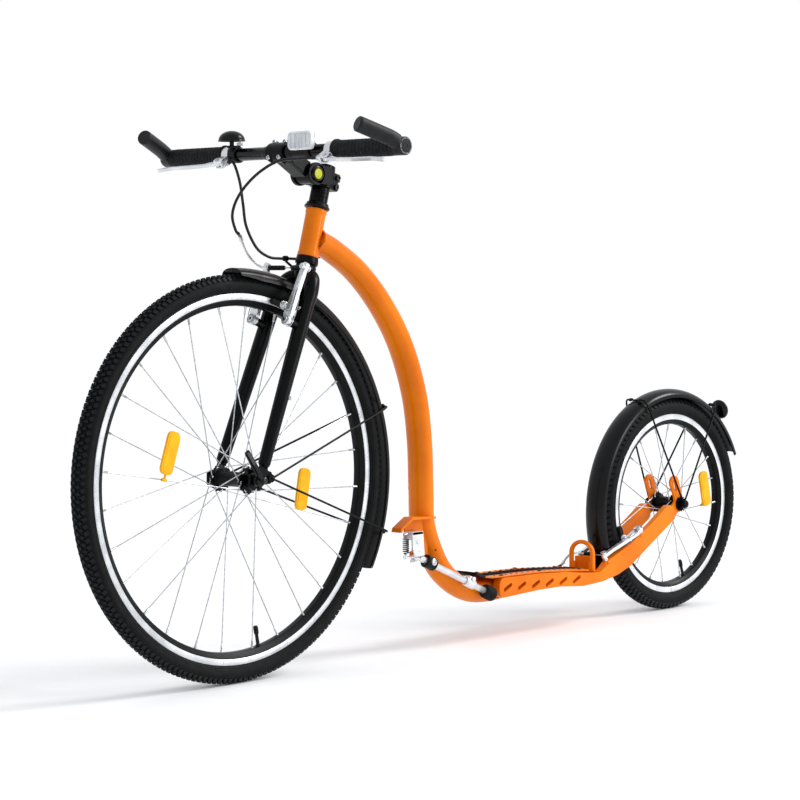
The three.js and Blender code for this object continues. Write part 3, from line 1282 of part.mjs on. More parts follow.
add("handlebar", handlebar(), BLACK);
add("grip_left", grip(LEFT), RUBBER);
add("grip_right", grip(RIGHT), RUBBER);
add("bar_end_left", barEnd(LEFT), RUBBER);
add("bar_end_right", barEnd(RIGHT), RUBBER);
add("lever_bracket_left", leverBracket(LEFT), SILVER);
add("lever_bracket_right", leverBracket(RIGHT), SILVER);
add("brake_lever_left", brakeLever(LEFT), SILVER);
add("brake_lever_right", brakeLever(RIGHT), SILVER);
add("bell", bell(), PLASTIC);
add("bell_striker", bellStriker(), SILVER);
add("front_reflector", frontReflector(), CLEAR);

// Cables
add("front_cable", cord(FRONT_CABLE, CABLE_RADIUS, FRONT_CABLE_STEPS), PLASTIC);
add("rear_cable_lead", cord(REAR_LEAD, CABLE_RADIUS, REAR_LEAD_STEPS), PLASTIC);
add("rear_cable_loop", cord(REAR_LOOP, CABLE_RADIUS, REAR_LOOP_STEPS), PLASTIC);
add("rear_cable", cord(REAR_CABLE, CABLE_RADIUS, REAR_CABLE_STEPS), PLASTIC);

// Kickstand
function kickstandBracket() {
  const strap = plate(STRAP_OUTLINE, STRAP.inner, STRAP.outer);
  const web = plate(WEB_OUTLINE, WEB.inner, WEB.outer);
  return without(joined(strap, web), tubeRod(GAP));
}

function kickstandHousing() {
  const near = plate(HOUSING_NEAR, HOUSING.outer - HOUSING.wall, HOUSING.outer);
  const far = plate(HOUSING_FAR, HOUSING.inner, HOUSING.inner + HOUSING.wall);
  const top = plate(HOUSING_TOP, HOUSING.inner, HOUSING.outer);
  const pinFrom = sum(STAND_PIVOT, STAND_AXIS, -STAND_ROOT.pinOut);
  const pin = rod(pinFrom, sum(STAND_PIVOT, STAND_AXIS, STAND_ROOT.pinIn), STAND_ROOT.pin, ROD_SIDES);
  const hook = rod(SPRING_PIN.from, SPRING_PIN.to, SPRING_PIN.radius, WIRE_SIDES);
  return joined(near, far, top, pin, hook);
}

const alongStand = (share) => mix(STAND_PIVOT, STAND_TIP, share);

function kickstandLeg() {
  const { radius, half, pin } = STAND_ROOT;
  const rootFrom = sum(STAND_PIVOT, STAND_AXIS, -half);
  const root = rod(rootFrom, sum(STAND_PIVOT, STAND_AXIS, half), radius, ROD_SIDES);
  const reach = half + STAND_ROOT.radius;
  const boreFrom = sum(STAND_PIVOT, STAND_AXIS, -reach);
  const bore = rod(boreFrom, sum(STAND_PIVOT, STAND_AXIS, reach), pin + GAP, ROD_SIDES);
  const body = joined(
    root,
    rod(STAND_PIVOT, STAND_TIP, STAND_LEG_RADIUS, ROD_SIDES),
    rod(...STAND_COLLAR.shares.map(alongStand), STAND_COLLAR.radius, ROD_SIDES),
    rod(...STAND_CLAMP.shares.map(alongStand), STAND_CLAMP.radius, NUT_SIDES),
    rod(STAND_PIVOT, STAND_HOOK.tip, STAND_HOOK.radius, WIRE_SIDES),
  );
  return without(body, bore);
}

function kickstandFoot() {
  const [from, to] = STAND_FOOT.shares.map(alongStand);
  const bore = rod(mix(from, to, -1), mix(STAND_PIVOT, STAND_TIP, 1), STAND_LEG_RADIUS + GAP, ROD_SIDES);
  return without(rod(from, to, STAND_FOOT.radius, ROUND_SIDES), bore);
}

// The spring's middle line: a straight end, the curls and a straight end.
function springLine() {
  const { x, y, bottom, top, radius, lead, curls, steps } = SPRING;
  const points = [[x, y, bottom], [x, y, bottom + lead]];
  const low = bottom + lead * 2;
  const high = top - lead * 2;
  for (let i = 0; i <= curls * steps; i += 1) {
    const angle = (2 * Math.PI * i) / steps;
    const z = low + ((high - low) * i) / (curls * steps);
    points.push([x + radius * Math.cos(angle), y + radius * Math.sin(angle), z]);
  }
  points.push([x, y, top - lead], [x, y, top]);
  return points;
}

// The least clear distance between parts of the wire that aren't neighbours.
function springGap(line) {
  const { wire, steps } = SPRING;
  let least = Infinity;
  line.forEach((a, i) => {
    line.slice(i + Math.ceil(steps / 2)).forEach((b) => {
      least = Math.min(least, vector(a).distanceTo(vector(b)));
    });
  });
  return least - 2 * wire;
}

function kickstandSpring() {
  const line = springLine();
  console.log("kickstand spring: least gap to itself", springGap(line).toFixed(2), "mm");
  const { wire, sides, curls, steps } = SPRING;
  return swept(line, oval(wire, wire, sides), (curls + 1) * steps);
}

add("kickstand_bracket", kickstandBracket(), ORANGE);
add("kickstand_housing", kickstandHousing(), SILVER);
add("kickstand_leg", kickstandLeg(), SILVER);
add("kickstand_foot", kickstandFoot(), RUBBER);
add("kickstand_spring", kickstandSpring(), SILVER);

// The origin lies under the middle of the whole bike.
const bounds = new THREE.Box3().setFromObject(bike);
const middle = bounds.getCenter(new THREE.Vector3());
bike.position.set(-middle.x, -middle.y, -bounds.min.z);

export default bike;
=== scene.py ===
# Kick bike: visible pieces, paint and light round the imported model.
# Points are in mm from where the front wheel touches the floor: X forward, Y left, Z up.
from math import acos, asin, copysign, cos, pi, radians, sin, sqrt, tan
from types import SimpleNamespace

import bmesh
import bpy
import numpy as np
from mathutils import Matrix, Vector
from mathutils.geometry import tessellate_polygon


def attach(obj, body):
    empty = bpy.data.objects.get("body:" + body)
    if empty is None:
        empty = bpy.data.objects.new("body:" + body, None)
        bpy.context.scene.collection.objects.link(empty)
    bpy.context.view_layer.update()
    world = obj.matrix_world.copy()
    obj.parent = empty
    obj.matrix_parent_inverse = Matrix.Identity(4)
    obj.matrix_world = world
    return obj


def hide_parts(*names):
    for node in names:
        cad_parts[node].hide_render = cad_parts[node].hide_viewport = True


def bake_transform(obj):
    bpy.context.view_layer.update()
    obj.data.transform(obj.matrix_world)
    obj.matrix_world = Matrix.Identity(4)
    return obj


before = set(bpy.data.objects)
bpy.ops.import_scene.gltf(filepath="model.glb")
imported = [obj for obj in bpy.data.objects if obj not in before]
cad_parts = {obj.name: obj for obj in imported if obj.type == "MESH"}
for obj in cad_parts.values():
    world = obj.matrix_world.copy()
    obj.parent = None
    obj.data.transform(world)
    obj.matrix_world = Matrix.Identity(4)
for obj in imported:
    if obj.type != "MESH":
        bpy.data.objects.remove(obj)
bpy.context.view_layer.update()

SHIFT = np.array([535.04094, 0.0, 0.0])
MM = 0.001
X, Y, Z = np.eye(3)
BOTH = (1, -1)
DEG = pi / 180
SIDES = ((1, "left"), (-1, "right"))
MERGE = 2e-6
BEVEL_ANGLE = 38


# ---------------------------------------------------------------- shapes
def arr(p):
    return np.asarray(p, float)


def unit(v):
    v = arr(v)
    return v / np.linalg.norm(v)


def mix(a, b, share):
    return arr(a) + (arr(b) - arr(a)) * share


def flip(points, side):
    return arr(points) * arr([1, side, 1])


def polar(centre, radius, angle, y=0.0):
    return arr([centre[0] + radius * cos(angle), y, centre[1] + radius * sin(angle)])


def turns(count, phase=0.0):
    """Angles evenly round a circle."""
    return [2 * pi * (k + phase) / count for k in range(count)]


def tangent_to(radial):
    return arr([-radial[2], 0, radial[0]])


def arc(centre, radius, low, high, count, turn=0):
    """Points of a flat arc between two angles in degrees."""
    angles = [a * DEG + turn for a in np.linspace(low, high, count)]
    return [(centre[0] + radius * cos(a), centre[1] + radius * sin(a)) for a in angles]


def mirrored(half):
    """A turned profile, completed by its mirror image."""
    return half + [(r, -y) for r, y in half[::-1]]


def collar(bore, outer, low, high, edge, fall):
    """A turned profile with chamfered outer edges."""
    return [(bore, low), (outer - edge, low), (outer, low + fall), (outer, high - fall), (outer - edge, high),
            (bore, high)]


def smooth(points, steps=8):
    """Points along a smooth line through the given ones."""
    p = arr(points)
    p = np.vstack([2 * p[0] - p[1], p, 2 * p[-1] - p[-2]])
    out = []
    for i in range(1, len(p) - 2):
        a, b, c, d = p[i - 1 : i + 3]
        for t in np.arange(steps) / steps:
            square, cube = 2 * a - 5 * b + 4 * c - d, 3 * b - a - 3 * c + d
            out.append(0.5 * (2 * b + (c - a) * t + square * t**2 + cube * t**3))
    out.append(p[-2])
    return np.array(out)


def even(line, count):
    """The line again, with evenly spaced points."""
    line = arr(line)
    far = np.concatenate([[0], np.cumsum(np.linalg.norm(np.diff(line, axis=0), axis=1))])
    spots = np.linspace(0, far[-1], count)
    return np.stack([np.interp(spots, far, line[:, k]) for k in range(line.shape[1])], axis=1)


def directions(line, side=None, closed=False):
    """Side and up directions at each point of a line."""
    if closed:
        way = np.roll(line, -1, axis=0) - np.roll(line, 1, axis=0)
    else:
        way = np.gradient(line, axis=0)
    way /= np.linalg.norm(way, axis=1)[:, None]
    if side is None:
        first = np.cross(way[0], Z if abs(way[0][2]) < 0.9 else X)
        sides = [unit(first)]
        for t in way[1:]:
            sides.append(unit(sides[-1] - t * np.dot(sides[-1], t)))
        sides = np.array(sides)
    else:
        sides = arr(side) - way * (way @ arr(side))[:, None]
        sides /= np.linalg.norm(sides, axis=1)[:, None]
    return sides, np.cross(sides, way)


def circle(radius, sides=24, other=None):
    a = 2 * np.pi * (np.arange(sides) + 0.5) / sides
    return np.stack([radius * np.cos(a), (other or radius) * np.sin(a)], axis=1)


def weave(rows, columns, close_rows=False):
    """Faces of a tube of rings."""
    faces = []
    for i in range(rows if close_rows else rows - 1):
        a, b = i * columns, ((i + 1) % rows) * columns
        for j in range(columns):
            k = (j + 1) % columns
            faces.append((a + j, a + k, b + k, b + j))
    return faces


def rounded(points, radius, steps=5):
    """A closed outline with its corners rounded."""
    p = arr(points)
    out = []
    for i in range(len(p)):
        a, b, c = p[i - 1], p[i], p[(i + 1) % len(p)]
        u, v = a - b, c - b
        room = min(np.linalg.norm(u), np.linalg.norm(v)) * 0.45
        u, v = unit(u), unit(v)
        half = acos(max(-1, min(1, float(u @ v)))) / 2
        r = min(radius, room * tan(half))
        cut = r / tan(half) if half < 1.55 else 0
        if cut < 0.05:
            out.append(b)
            continue
        for t in np.linspace(0, 1, steps):
            out.append((1 - t) ** 2 * (b + u * cut) + 2 * t * (1 - t) * b + t**2 * (b + v * cut))
    return np.array(out)


def box_outline(width, height, corner, steps=6):
    w, h = width / 2, height / 2
    return rounded([(w, h), (-w, h), (-w, -h), (w, -h)], corner * 1.6, steps)


def capsule(at, length, width, angle, steps=10):
    half = (length - width) / 2
    out = []
    for end in (1, -1):
        for i in range(steps + 1):
            a = pi * (i / steps - end / 2)
            out.append((half * end + cos(a) * width / 2, sin(a) * width / 2))
    c, s = cos(angle), sin(angle)
    return arr([(at[0] + a * c - b * s, at[1] + a * s + b * c) for a, b in out])


def band(a, b, ra, rb):
    d = unit([b[0] - a[0], b[1] - a[1]])
    n = arr([-d[1], d[0]])
    a, b = arr(a), arr(b)
    return arr([a + n * ra, b + n * rb, b - n * rb, a - n * ra])


class Shape:
    """Points and faces of one piece, gathered from simple forms."""

    def __init__(self):
        self.points, self.faces, self.looks, self.count = [], [], [], 0

    def add(self, points, faces, look=0):
        start = self.count
        self.points.append(arr(points))
        self.faces += [tuple(int(i) + start for i in f) for f in faces]
        self.looks += [look] * len(faces)
        self.count += len(points)
        return self

    def swept(self, line, section, side=None, sizes=None, caps=True, look=0, closed=False):
        line, section = arr(line), arr(section)
        sides, ups = directions(line, side, closed)
        sizes = np.ones(len(line)) if sizes is None else arr(sizes)
        if sizes.ndim == 1:
            sizes = np.stack([sizes, sizes], axis=1)
        a = section[None, :, 0, None] * sizes[:, 0, None, None] * sides[:, None, :]
        b = section[None, :, 1, None] * sizes[:, 1, None, None] * ups[:, None, :]
        points = (line[:, None, :] + a + b).reshape(-1, 3)
        n, m = len(line), len(section)
        faces = weave(n, m, closed)
        if caps and not closed:
            faces += [tuple(range(m))[::-1], tuple(range((n - 1) * m, n * m))]
        return self.add(points, faces, look)

    def tube(self, line, radius, sides=16, look=0, caps=True, closed=False):
        radius = np.broadcast_to(arr(radius), (len(line),))
        return self.swept(line, circle(1, sides), None, radius, caps, look, closed)

    def rod(self, a, b, radius, other=None, sides=28, look=0):
        a, b = arr(a), arr(b)
        other = radius if other is None else other
        return self.tube(arr([a, b]), [radius, other], sides, look)

    def turned(self, profile, at, along, sides=48, look=0, closed=False, phase=0.0):
        along = unit(along)
        e1 = unit(np.cross(along, Z if abs(along[2]) < 0.9 else X))
        e2 = np.cross(along, e1)
        a = 2 * np.pi * np.arange(sides) / sides + phase
        ring = np.cos(a)[:, None] * e1 + np.sin(a)[:, None] * e2
        p = arr(profile)
        points = arr(at) + p[:, None, :1] * ring[None] + p[:, None, 1:] * along
        n = len(p)
        faces = weave(n, sides, closed)
        if not closed:
            for row in (0, n - 1):
                if p[row][0] > 0.01:
                    faces.append(tuple(range(row * sides, (row + 1) * sides)))
        return self.add(points.reshape(-1, 3), faces, look)

    def ring(self, outer, bore, low, high, at, along, sides=48, look=0):
        profile = [(bore, low), (outer, low), (outer, high), (bore, high)]
        return self.turned(profile, at, along, sides, look, closed=True)

    def nut(self, at, along, radius, low, high, look=0):
        return self.turned([(radius, low), (radius, high)], at, along, 6, look)

    def ball(self, at, radius, along=Z, stretch=1.0, sides=20, look=0, rows=10):
        a = np.linspace(-np.pi / 2, np.pi / 2, rows)
        profile = np.stack([radius * np.cos(a), radius * stretch * np.sin(a)], axis=1)
        profile[[0, -1], 0] = 0
        return self.turned(profile, at, along, sides, look)

    def slab(self, outline, at, across, up, thick, holes=(), look=0):
        across, up = arr(across), arr(up)
        normal = np.cross(across, up)
        loops = [arr(outline)] + [arr(h) for h in holes]
        flat = np.vstack(loops)
        base = arr(at) + flat[:, :1] * across + flat[:, 1:] * up
        points = np.vstack([base - normal * thick / 2, base + normal * thick / 2])
        n = len(flat)
        faces = []
        if holes:
            for tri in tessellate_polygon([[Vector((p[0], p[1], 0)) for p in loop] for loop in loops]):
                faces += [tuple(tri), tuple(i + n for i in tri[::-1])]
        else:
            faces += [tuple(range(n))[::-1], tuple(range(n, 2 * n))]
        start = 0
        for loop in loops:
            m = len(loop)
            for i in range(m):
                a, b = start + i, start + (i + 1) % m
                faces.append((a, b, b + n, a + n))
            start += m
        return self.add(points, faces, look)

    def plate(self, outline, inner, outer, side=1, holes=(), look=0):
        return self.slab(outline, (0, (inner + outer) / 2 * side, 0), X, Z, abs(outer - inner), holes, look)

    def box(self, low, high, look=0):
        outline = [(low[0], low[2]), (high[0], low[2]), (high[0], high[2]), (low[0], high[2])]
        return self.plate(outline, low[1], high[1], 1, (), look)

    def blocks(self, middles, ways, look=0, taper=0.82):
        """Small tapered blocks; ways holds three half edges for each, the last one up."""
        corners = [(-1, -1), (1, -1), (1, 1), (-1, 1)]
        for at, (u, v, w) in zip(middles, ways, strict=True):
            low = [at - w + u * a + v * b for a, b in corners]
            high = [at + w + (u * a + v * b) * taper for a, b in corners]
            faces = [(0, 1, 5, 4), (1, 2, 6, 5), (2, 3, 7, 6), (3, 0, 4, 7), (4, 5, 6, 7), (3, 2, 1, 0)]
            self.add(low + high, faces, look)
        return self


def show(made):
    bpy.context.scene.collection.objects.link(made)


def piece(name, shape, looks, body, stands_for=(), slot=None, bevel=0.0, sharp=40, segments=2):
    """Makes an object from a shape, rides it on its body and hides the nodes it stands for.

    A body given as (a, b, start, end) only has its place baked into the piece, which rides no body.
    Without a slot it works out the one of its first finish, but gives the piece no slot."""
    mesh = bpy.data.meshes.new(name)
    points = (np.vstack(shape.points) + SHIFT) * MM
    mesh.from_pydata(points.tolist(), [], shape.faces)
    looks = looks if isinstance(looks, (list, tuple)) else [looks]
    for look in looks:
        mesh.materials.append(look)
    mesh.polygons.foreach_set("material_index", shape.looks)
    work = bmesh.new()
    work.from_mesh(mesh)
    bmesh.ops.remove_doubles(work, verts=work.verts, dist=MERGE)
    bmesh.ops.recalc_face_normals(work, faces=work.faces)
    work.to_mesh(mesh)
    work.free()
    mesh.polygons.foreach_set("use_smooth", [True] * len(mesh.polygons))
    if not bevel:
        mesh.set_sharp_from_angle(angle=radians(sharp))
    made = bpy.data.objects.new(name, mesh)
    show(made)
    if bevel:
        edge = made.modifiers.new("edge", "BEVEL")
        edge.width = bevel * MM
        edge.segments = segments
        edge.limit_method = "ANGLE"
        edge.angle_limit = radians(BEVEL_ANGLE)
        edge.harden_normals = True
        edge.use_clamp_overlap = True
    if isinstance(body, tuple):
        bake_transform(made)
    else:
        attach(made, body)
    if stands_for:
        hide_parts(*([stands_for] if isinstance(stands_for, str) else stands_for))
    slot = slot or SLOTS[looks[0].name]


# ---------------------------------------------------------------- finishes
SLOTS = {}
GRAIN_HEIGHT = 0.0004
COAT_ROUGHNESS = 0.06


def shade(r, g, b):
    """A colour as seen on a screen, 0 to 255, in Blender's own scale."""
    def one(v):
        v /= 255
        return v / 12.92 if v <= 0.04045 else ((v + 0.055) / 1.055) ** 2.4
    return (one(r), one(g), one(b), 1.0)


def relief(nodes, links, shader, source, strength, distance, below=None):
    """Raises the surface by a pattern, on top of the relief below."""
    node = nodes.new("ShaderNodeBump")
    node.inputs["Strength"].default_value = strength
    node.inputs["Distance"].default_value = distance
    links.new(source, node.inputs["Height"])
    if below:
        links.new(below.outputs["Normal"], node.inputs["Normal"])
    links.new(node.outputs["Normal"], shader.inputs["Normal"])
    return node


def finish(name, slot, dark, light, rough, metal=0.0, grain=40.0, bump=0.0, bump_grain=500.0, coat=0.0,
           level=0.5, stretch=(1, 1, 1), pattern=None, contrast=(0.35, 0.65)):
    """A surface whose colour, gloss and relief all vary, each at its own scale.

    Slot is kept in SLOTS under the finish's name."""
    made = bpy.data.materials.new(name)
    SLOTS[made.name] = slot
    made.use_nodes = True
    nodes, links = made.node_tree.nodes, made.node_tree.links
    shader = nodes["Principled BSDF"]
    place = nodes.new("ShaderNodeTexCoord")
    turn = nodes.new("ShaderNodeMapping")
    turn.inputs["Scale"].default_value = stretch
    links.new(place.outputs["Object"], turn.inputs["Vector"])

    fine = 1.5 if metal > 0.4 else 4.0

    def noise(scale, detail=fine):
        node = nodes.new("ShaderNodeTexNoise")
        node.inputs["Scale"].default_value = scale
        node.inputs["Detail"].default_value = detail
        links.new(turn.outputs["Vector"], node.inputs["Vector"])
        return node.outputs["Fac"]

    ramp = nodes.new("ShaderNodeValToRGB")
    ramp.color_ramp.elements[0].position, ramp.color_ramp.elements[1].position = contrast
    ramp.color_ramp.elements[0].color, ramp.color_ramp.elements[1].color = shade(*dark), shade(*light)
    links.new(noise(grain), ramp.inputs["Fac"])
    links.new(ramp.outputs["Color"], shader.inputs["Base Color"])
    spread = nodes.new("ShaderNodeMapRange")
    spread.inputs["To Min"].default_value, spread.inputs["To Max"].default_value = rough
    links.new(noise(grain * 2.3, fine * 1.5), spread.inputs["Value"])
    links.new(spread.outputs["Result"], shader.inputs["Roughness"])
    shader.inputs["Metallic"].default_value = metal
    shader.inputs["Specular IOR Level"].default_value = level
    if coat:
        shader.inputs["Coat Weight"].default_value = coat
        shader.inputs["Coat Roughness"].default_value = COAT_ROUGHNESS
    height = None
    if bump:
        height = relief(nodes, links, shader, noise(bump_grain, 3.0), bump, GRAIN_HEIGHT)
    if pattern:
        pattern(nodes, links, shader, place, height)
    return made


def rings(centre, scale, strength, distance):
    """Fine rings about the wheel's axle."""
    def pattern(nodes, links, shader, place, below):
        move = nodes.new("ShaderNodeMapping")
        move.inputs["Location"].default_value = [-c for c in ((arr(centre) + SHIFT) * MM)]
        links.new(place.outputs["Object"], move.inputs["Vector"])
        wave = nodes.new("ShaderNodeTexWave")
        wave.wave_type, wave.rings_direction = "RINGS", "Y"
        wave.inputs["Scale"].default_value = scale
        wave.inputs["Distortion"].default_value = 0.4
        links.new(move.outputs["Vector"], wave.inputs["Vector"])
        relief(nodes, links, shader, wave.outputs["Fac"], strength, distance, below)
    return pattern


def cells(scale, strength, distance):
    """A pattern of small cells, as prisms or foam."""
    def pattern(nodes, links, shader, place, below):
        cell = nodes.new("ShaderNodeTexVoronoi")
        cell.inputs["Scale"].default_value = scale
        cell.inputs["Randomness"].default_value = 0.25
        links.new(place.outputs["Object"], cell.inputs["Vector"])
        relief(nodes, links, shader, cell.outputs["Distance"], strength, distance, below)
    return pattern


def flutes(direction, scale, strength, distance):
    """Straight parallel ridges."""
    def pattern(nodes, links, shader, place, below):
        wave = nodes.new("ShaderNodeTexWave")
        wave.bands_direction = direction
        wave.inputs["Scale"].default_value = scale
        links.new(place.outputs["Object"], wave.inputs["Vector"])
        relief(nodes, links, shader, wave.outputs["Fac"], strength, distance, below)
    return pattern


FRONT_MIDDLE = (0, 0, 350)
REAR_MIDDLE = (-1200, 0, 217.5)
ORANGE = finish("orange_gloss", "orange_paint", (217, 107, 0), (237, 124, 2), (0.2, 0.32), grain=9, bump=0.03,
                bump_grain=900, coat=0.1, level=0.12)
WELD = finish("orange_weld", "orange_paint", (206, 96, 0), (236, 122, 4), (0.3, 0.5), grain=160, bump=0.5,
              bump_grain=420, coat=0.2, level=0.2)
BLACK = finish("black_satin", "black_paint", (0, 0, 1), (5, 5, 6), (0.22, 0.34), grain=30, bump=0.04, bump_grain=1200,
               level=0.12)
GLOSS = finish("black_gloss", "gloss_black", (0, 0, 1), (3, 3, 4), (0.2, 0.3), grain=14, bump=0.02, bump_grain=700,
               coat=0.05, level=0.2)
PLASTIC = finish("black_moulded", "black_plastic", (6, 6, 7), (15, 16, 17), (0.38, 0.55), grain=60, bump=0.3,
                 bump_grain=1500, level=0.2)
RUBBER = finish("grip_rubber", "rubber", (14, 15, 17), (27, 29, 31), (0.55, 0.8), grain=80, bump=0.4, bump_grain=1300,
                level=0.2, pattern=cells(330, 0.8, 0.0007))
FOAM = finish("foam_rubber", "rubber", (11, 11, 13), (24, 25, 27), (0.35, 0.5), grain=120, bump=0.4, bump_grain=1800,
              level=0.25, pattern=cells(900, 0.3, 0.0003))
SOLE = finish("stand_rubber", "rubber", (14, 14, 15), (30, 30, 30), (0.6, 0.85), grain=120, bump=0.5, bump_grain=900,
              level=0.2)
TYRE_F = finish("front_tyre_rubber", "tyre_rubber", (4, 4, 5), (13, 14, 15), (0.5, 0.75), grain=70, bump=0.3,
                bump_grain=1100, level=0.14, pattern=rings(FRONT_MIDDLE, 95, 0.35, 0.0005))
TYRE_R = finish("rear_tyre_rubber", "tyre_rubber", (4, 4, 5), (13, 14, 15), (0.5, 0.75), grain=70, bump=0.3,
                bump_grain=1100, level=0.14, pattern=rings(REAR_MIDDLE, 95, 0.35, 0.0005))
TREAD = finish("tread_rubber", "tyre_rubber", (5, 6, 9), (13, 15, 19), (0.4, 0.62), grain=110, bump=0.5,
               bump_grain=900, level=0.2)
TRACK_F = finish("front_rim_track", "rim_alloy", (192, 194, 197), (220, 221, 223), (0.22, 0.36), metal=0.45, grain=35,
                 bump=0.04, bump_grain=900, pattern=rings(FRONT_MIDDLE, 700, 0.3, 0.00012))
TRACK_R = finish("rear_rim_track", "rim_alloy", (214, 216, 219), (238, 239, 241), (0.22, 0.36), metal=0.45, grain=35,
                 bump=0.04, bump_grain=900, pattern=rings(REAR_MIDDLE, 700, 0.3, 0.00012))
RIM = finish("rim_black", "black_paint", (2, 2, 3), (10, 11, 12), (0.25, 0.4), metal=0.1, level=0.14, grain=45,
             bump=0.12, bump_grain=1100)
SILVER = finish("silver_brushed", "silver_metal", (214, 216, 219), (236, 237, 239), (0.2, 0.3), metal=0.7, grain=26,
                bump=0.03, bump_grain=500, stretch=(1, 1, 3))
STEEL = finish("steel_bright", "silver_metal", (160, 162, 166), (206, 208, 211), (0.18, 0.32), metal=0.9, grain=120,
               bump=0.03, bump_grain=1500)
SPOKE = finish("spoke_wire", "spoke_steel", (164, 166, 169), (204, 206, 208), (0.25, 0.4), metal=0.7, grain=200,
               bump=0.05, bump_grain=2000)
ZINC = finish("zinc_plate", "silver_metal", (206, 208, 211), (232, 233, 235), (0.3, 0.42), metal=0.5, grain=30,
              bump=0.05, bump_grain=300)
GREY = finish("spring_grey", "silver_metal", (44, 46, 50), (112, 114, 118), (0.3, 0.5), metal=0.7, grain=200,
              bump=0.1, bump_grain=1500)
DARK = finish("dark_steel", "silver_metal", (22, 23, 26), (60, 62, 66), (0.28, 0.46), metal=0.7, grain=120, bump=0.2,
              bump_grain=900)
CLEAR = finish("clear_lens", "clear_lens", (205, 209, 213), (236, 239, 241), (0.08, 0.18), metal=0.15, grain=30,
               bump=0.1, bump_grain=400, coat=0.6, pattern=flutes("Y", 60, 0.9, 0.002))
CASE = finish("clear_case", "clear_lens", (214, 217, 221), (240, 242, 244), (0.12, 0.24), grain=40, bump=0.05,
              bump_grain=300, coat=0.5)
AMBER = finish("amber_lens", "amber_lens", (236, 164, 0), (246, 180, 2), (0.2, 0.35), grain=60, bump=0.05,
               bump_grain=400, coat=0.1, level=0.15, pattern=cells(520, 0.35, 0.0005))
RED = finish("red_lens", "amber_lens", (150, 14, 12), (190, 26, 20), (0.15, 0.3), grain=60, bump=0.05, bump_grain=400,
             coat=0.5, pattern=cells(420, 0.5, 0.0006))
LIME = finish("lime_cap", "lime_plastic", (172, 176, 6), (192, 196, 18), (0.3, 0.45), grain=60, bump=0.15,
              bump_grain=700, coat=0.1, level=0.2)
DECK = finish("deck_grip", "rubber", (16, 14, 13), (120, 92, 64), (0.7, 0.95), grain=320, bump=0.9, bump_grain=1500,
              level=0.15, contrast=(0.56, 0.8))
CABLE = finish("cable_jacket", "black_plastic", (8, 9, 10), (20, 21, 23), (0.25, 0.4), grain=90, bump=0.1,
               bump_grain=900, level=0.25)
FLOOR = finish("floor", None, (246, 246, 247), (251, 251, 251), (0.8, 0.95), grain=3, bump=0.02, bump_grain=60,
               level=0.1)

# ---------------------------------------------------------------- wheels
GAP = 0.3


class Wheel:
    def __init__(self, **facts):
        self.__dict__.update(facts)
        self.flat = (self.centre[0], self.centre[2])
        self.mid = self.radius - self.depth
        self.seat = self.mid + self.depth * cos(140 * DEG)
        self.rim_outer = self.seat - GAP
        self.track = self.rim_outer - self.track_depth
        self.rim_inner = self.rim_outer - self.well_depth


FRONT = Wheel(name="front", centre=FRONT_MIDDLE, sides=54, radius=350, half=19, depth=18, track_depth=11.2,
              well_depth=21.9, flange=(22, 33.4, 37.6), body=13, end=(9, 38.5, 49.9), spokes=28, lead=60 * DEG,
              ring=20.5, offset=35.5, phase=0.5, valve=-99.7 * DEG, stem=36, knobs=184, knob=(3.6, 3.2, 1.6),
              tyre=TYRE_F, rail=TRACK_F)
REAR = Wheel(name="rear", centre=REAR_MIDDLE, sides=42, radius=217.5, half=20, depth=19, track_depth=11.4,
             well_depth=21.1, flange=(20, 19.9, 24.1), body=13, end=(9, 25, 28.9), spokes=20, lead=52 * DEG,
             ring=18.5, offset=22, phase=0.2, valve=-109.2 * DEG, stem=34, knobs=104, knob=(4.2, 3.6, 1.6),
             tyre=TYRE_R, rail=TRACK_R)


def spoke_lines(w):
    pitch = 2 * pi / w.spokes
    tip = w.rim_inner * cos(pi / w.sides) - GAP
    lines = []
    for i in range(w.spokes):
        side = -1 if i % 2 else 1
        lead = w.lead if (i // 2) % 2 else -w.lead
        angle = (i + w.phase) * pitch
        foot = polar(w.flat, w.ring, angle + lead, (w.offset + 1.3 * copysign(1, lead)) * side)
        lines.append((foot, polar(w.flat, tip, angle, 2.4 * side), side, lead))
    return lines


def tyre(w):
    shape = Shape()
    t = np.radians(np.linspace(-140, 140, 41))
    lower = w.knob[2] * 2 * np.clip((np.cos(t) - 0.2) / 0.5, 0, 1)
    profile = np.stack([w.mid + (w.depth - lower) * np.cos(t), (w.half - lower * 0.6) * np.sin(t)], axis=1)
    lip = [(w.seat - 1.5, 10.4), (w.seat - 1.5, -10.4)]
    profile = np.vstack([profile, lip])
    shape.turned(profile, w.centre, Y, 180, closed=True)
    middles, ways = [], []
    across, around, high = w.knob
    rows = [(-52, 1.25, 0.5, 1.3), (-26, 1.0, 0.0, 1.0), (0, 0.9, 0.5, 1.1), (26, 1.0, 0.0, 1.0), (52, 1.25, 0.5, 1.3)]
    for degrees, wide, phase, length in rows:
        c, s = cos(degrees * DEG), sin(degrees * DEG)
        for a in turns(w.knobs, phase):
            radial = polar((0, 0), 1, a)
            along = tangent_to(radial)
            out, over = radial * c + Y * s, Y * c - radial * s
            at = arr(w.centre) + radial * (w.mid + (w.depth - high) * c) + Y * (w.half - high) * s
            slant = radians(18 if degrees >= 0 else -18)
            u = over * cos(slant) + along * sin(slant)
            v = along * cos(slant) - over * sin(slant)
            middles.append(at)
            ways.append((u * across * wide, v * around * length, out * high))
    shape.blocks(middles, ways, 1)
    for r, y in ((w.mid - w.depth * 0.35, w.half * 0.955), (w.mid - w.depth * 0.55, w.half * 0.86)):
        for side in BOTH:
            shape.turned([(r - 0.7, y - 0.5), (r, y + 0.15), (r + 0.7, y - 0.5)], w.centre, Y * side, 180, closed=True)
    piece(f"{w.name}_tyre_body", shape, [w.tyre, TREAD], f"{w.name}_wheel", f"{w.name}_tyre")


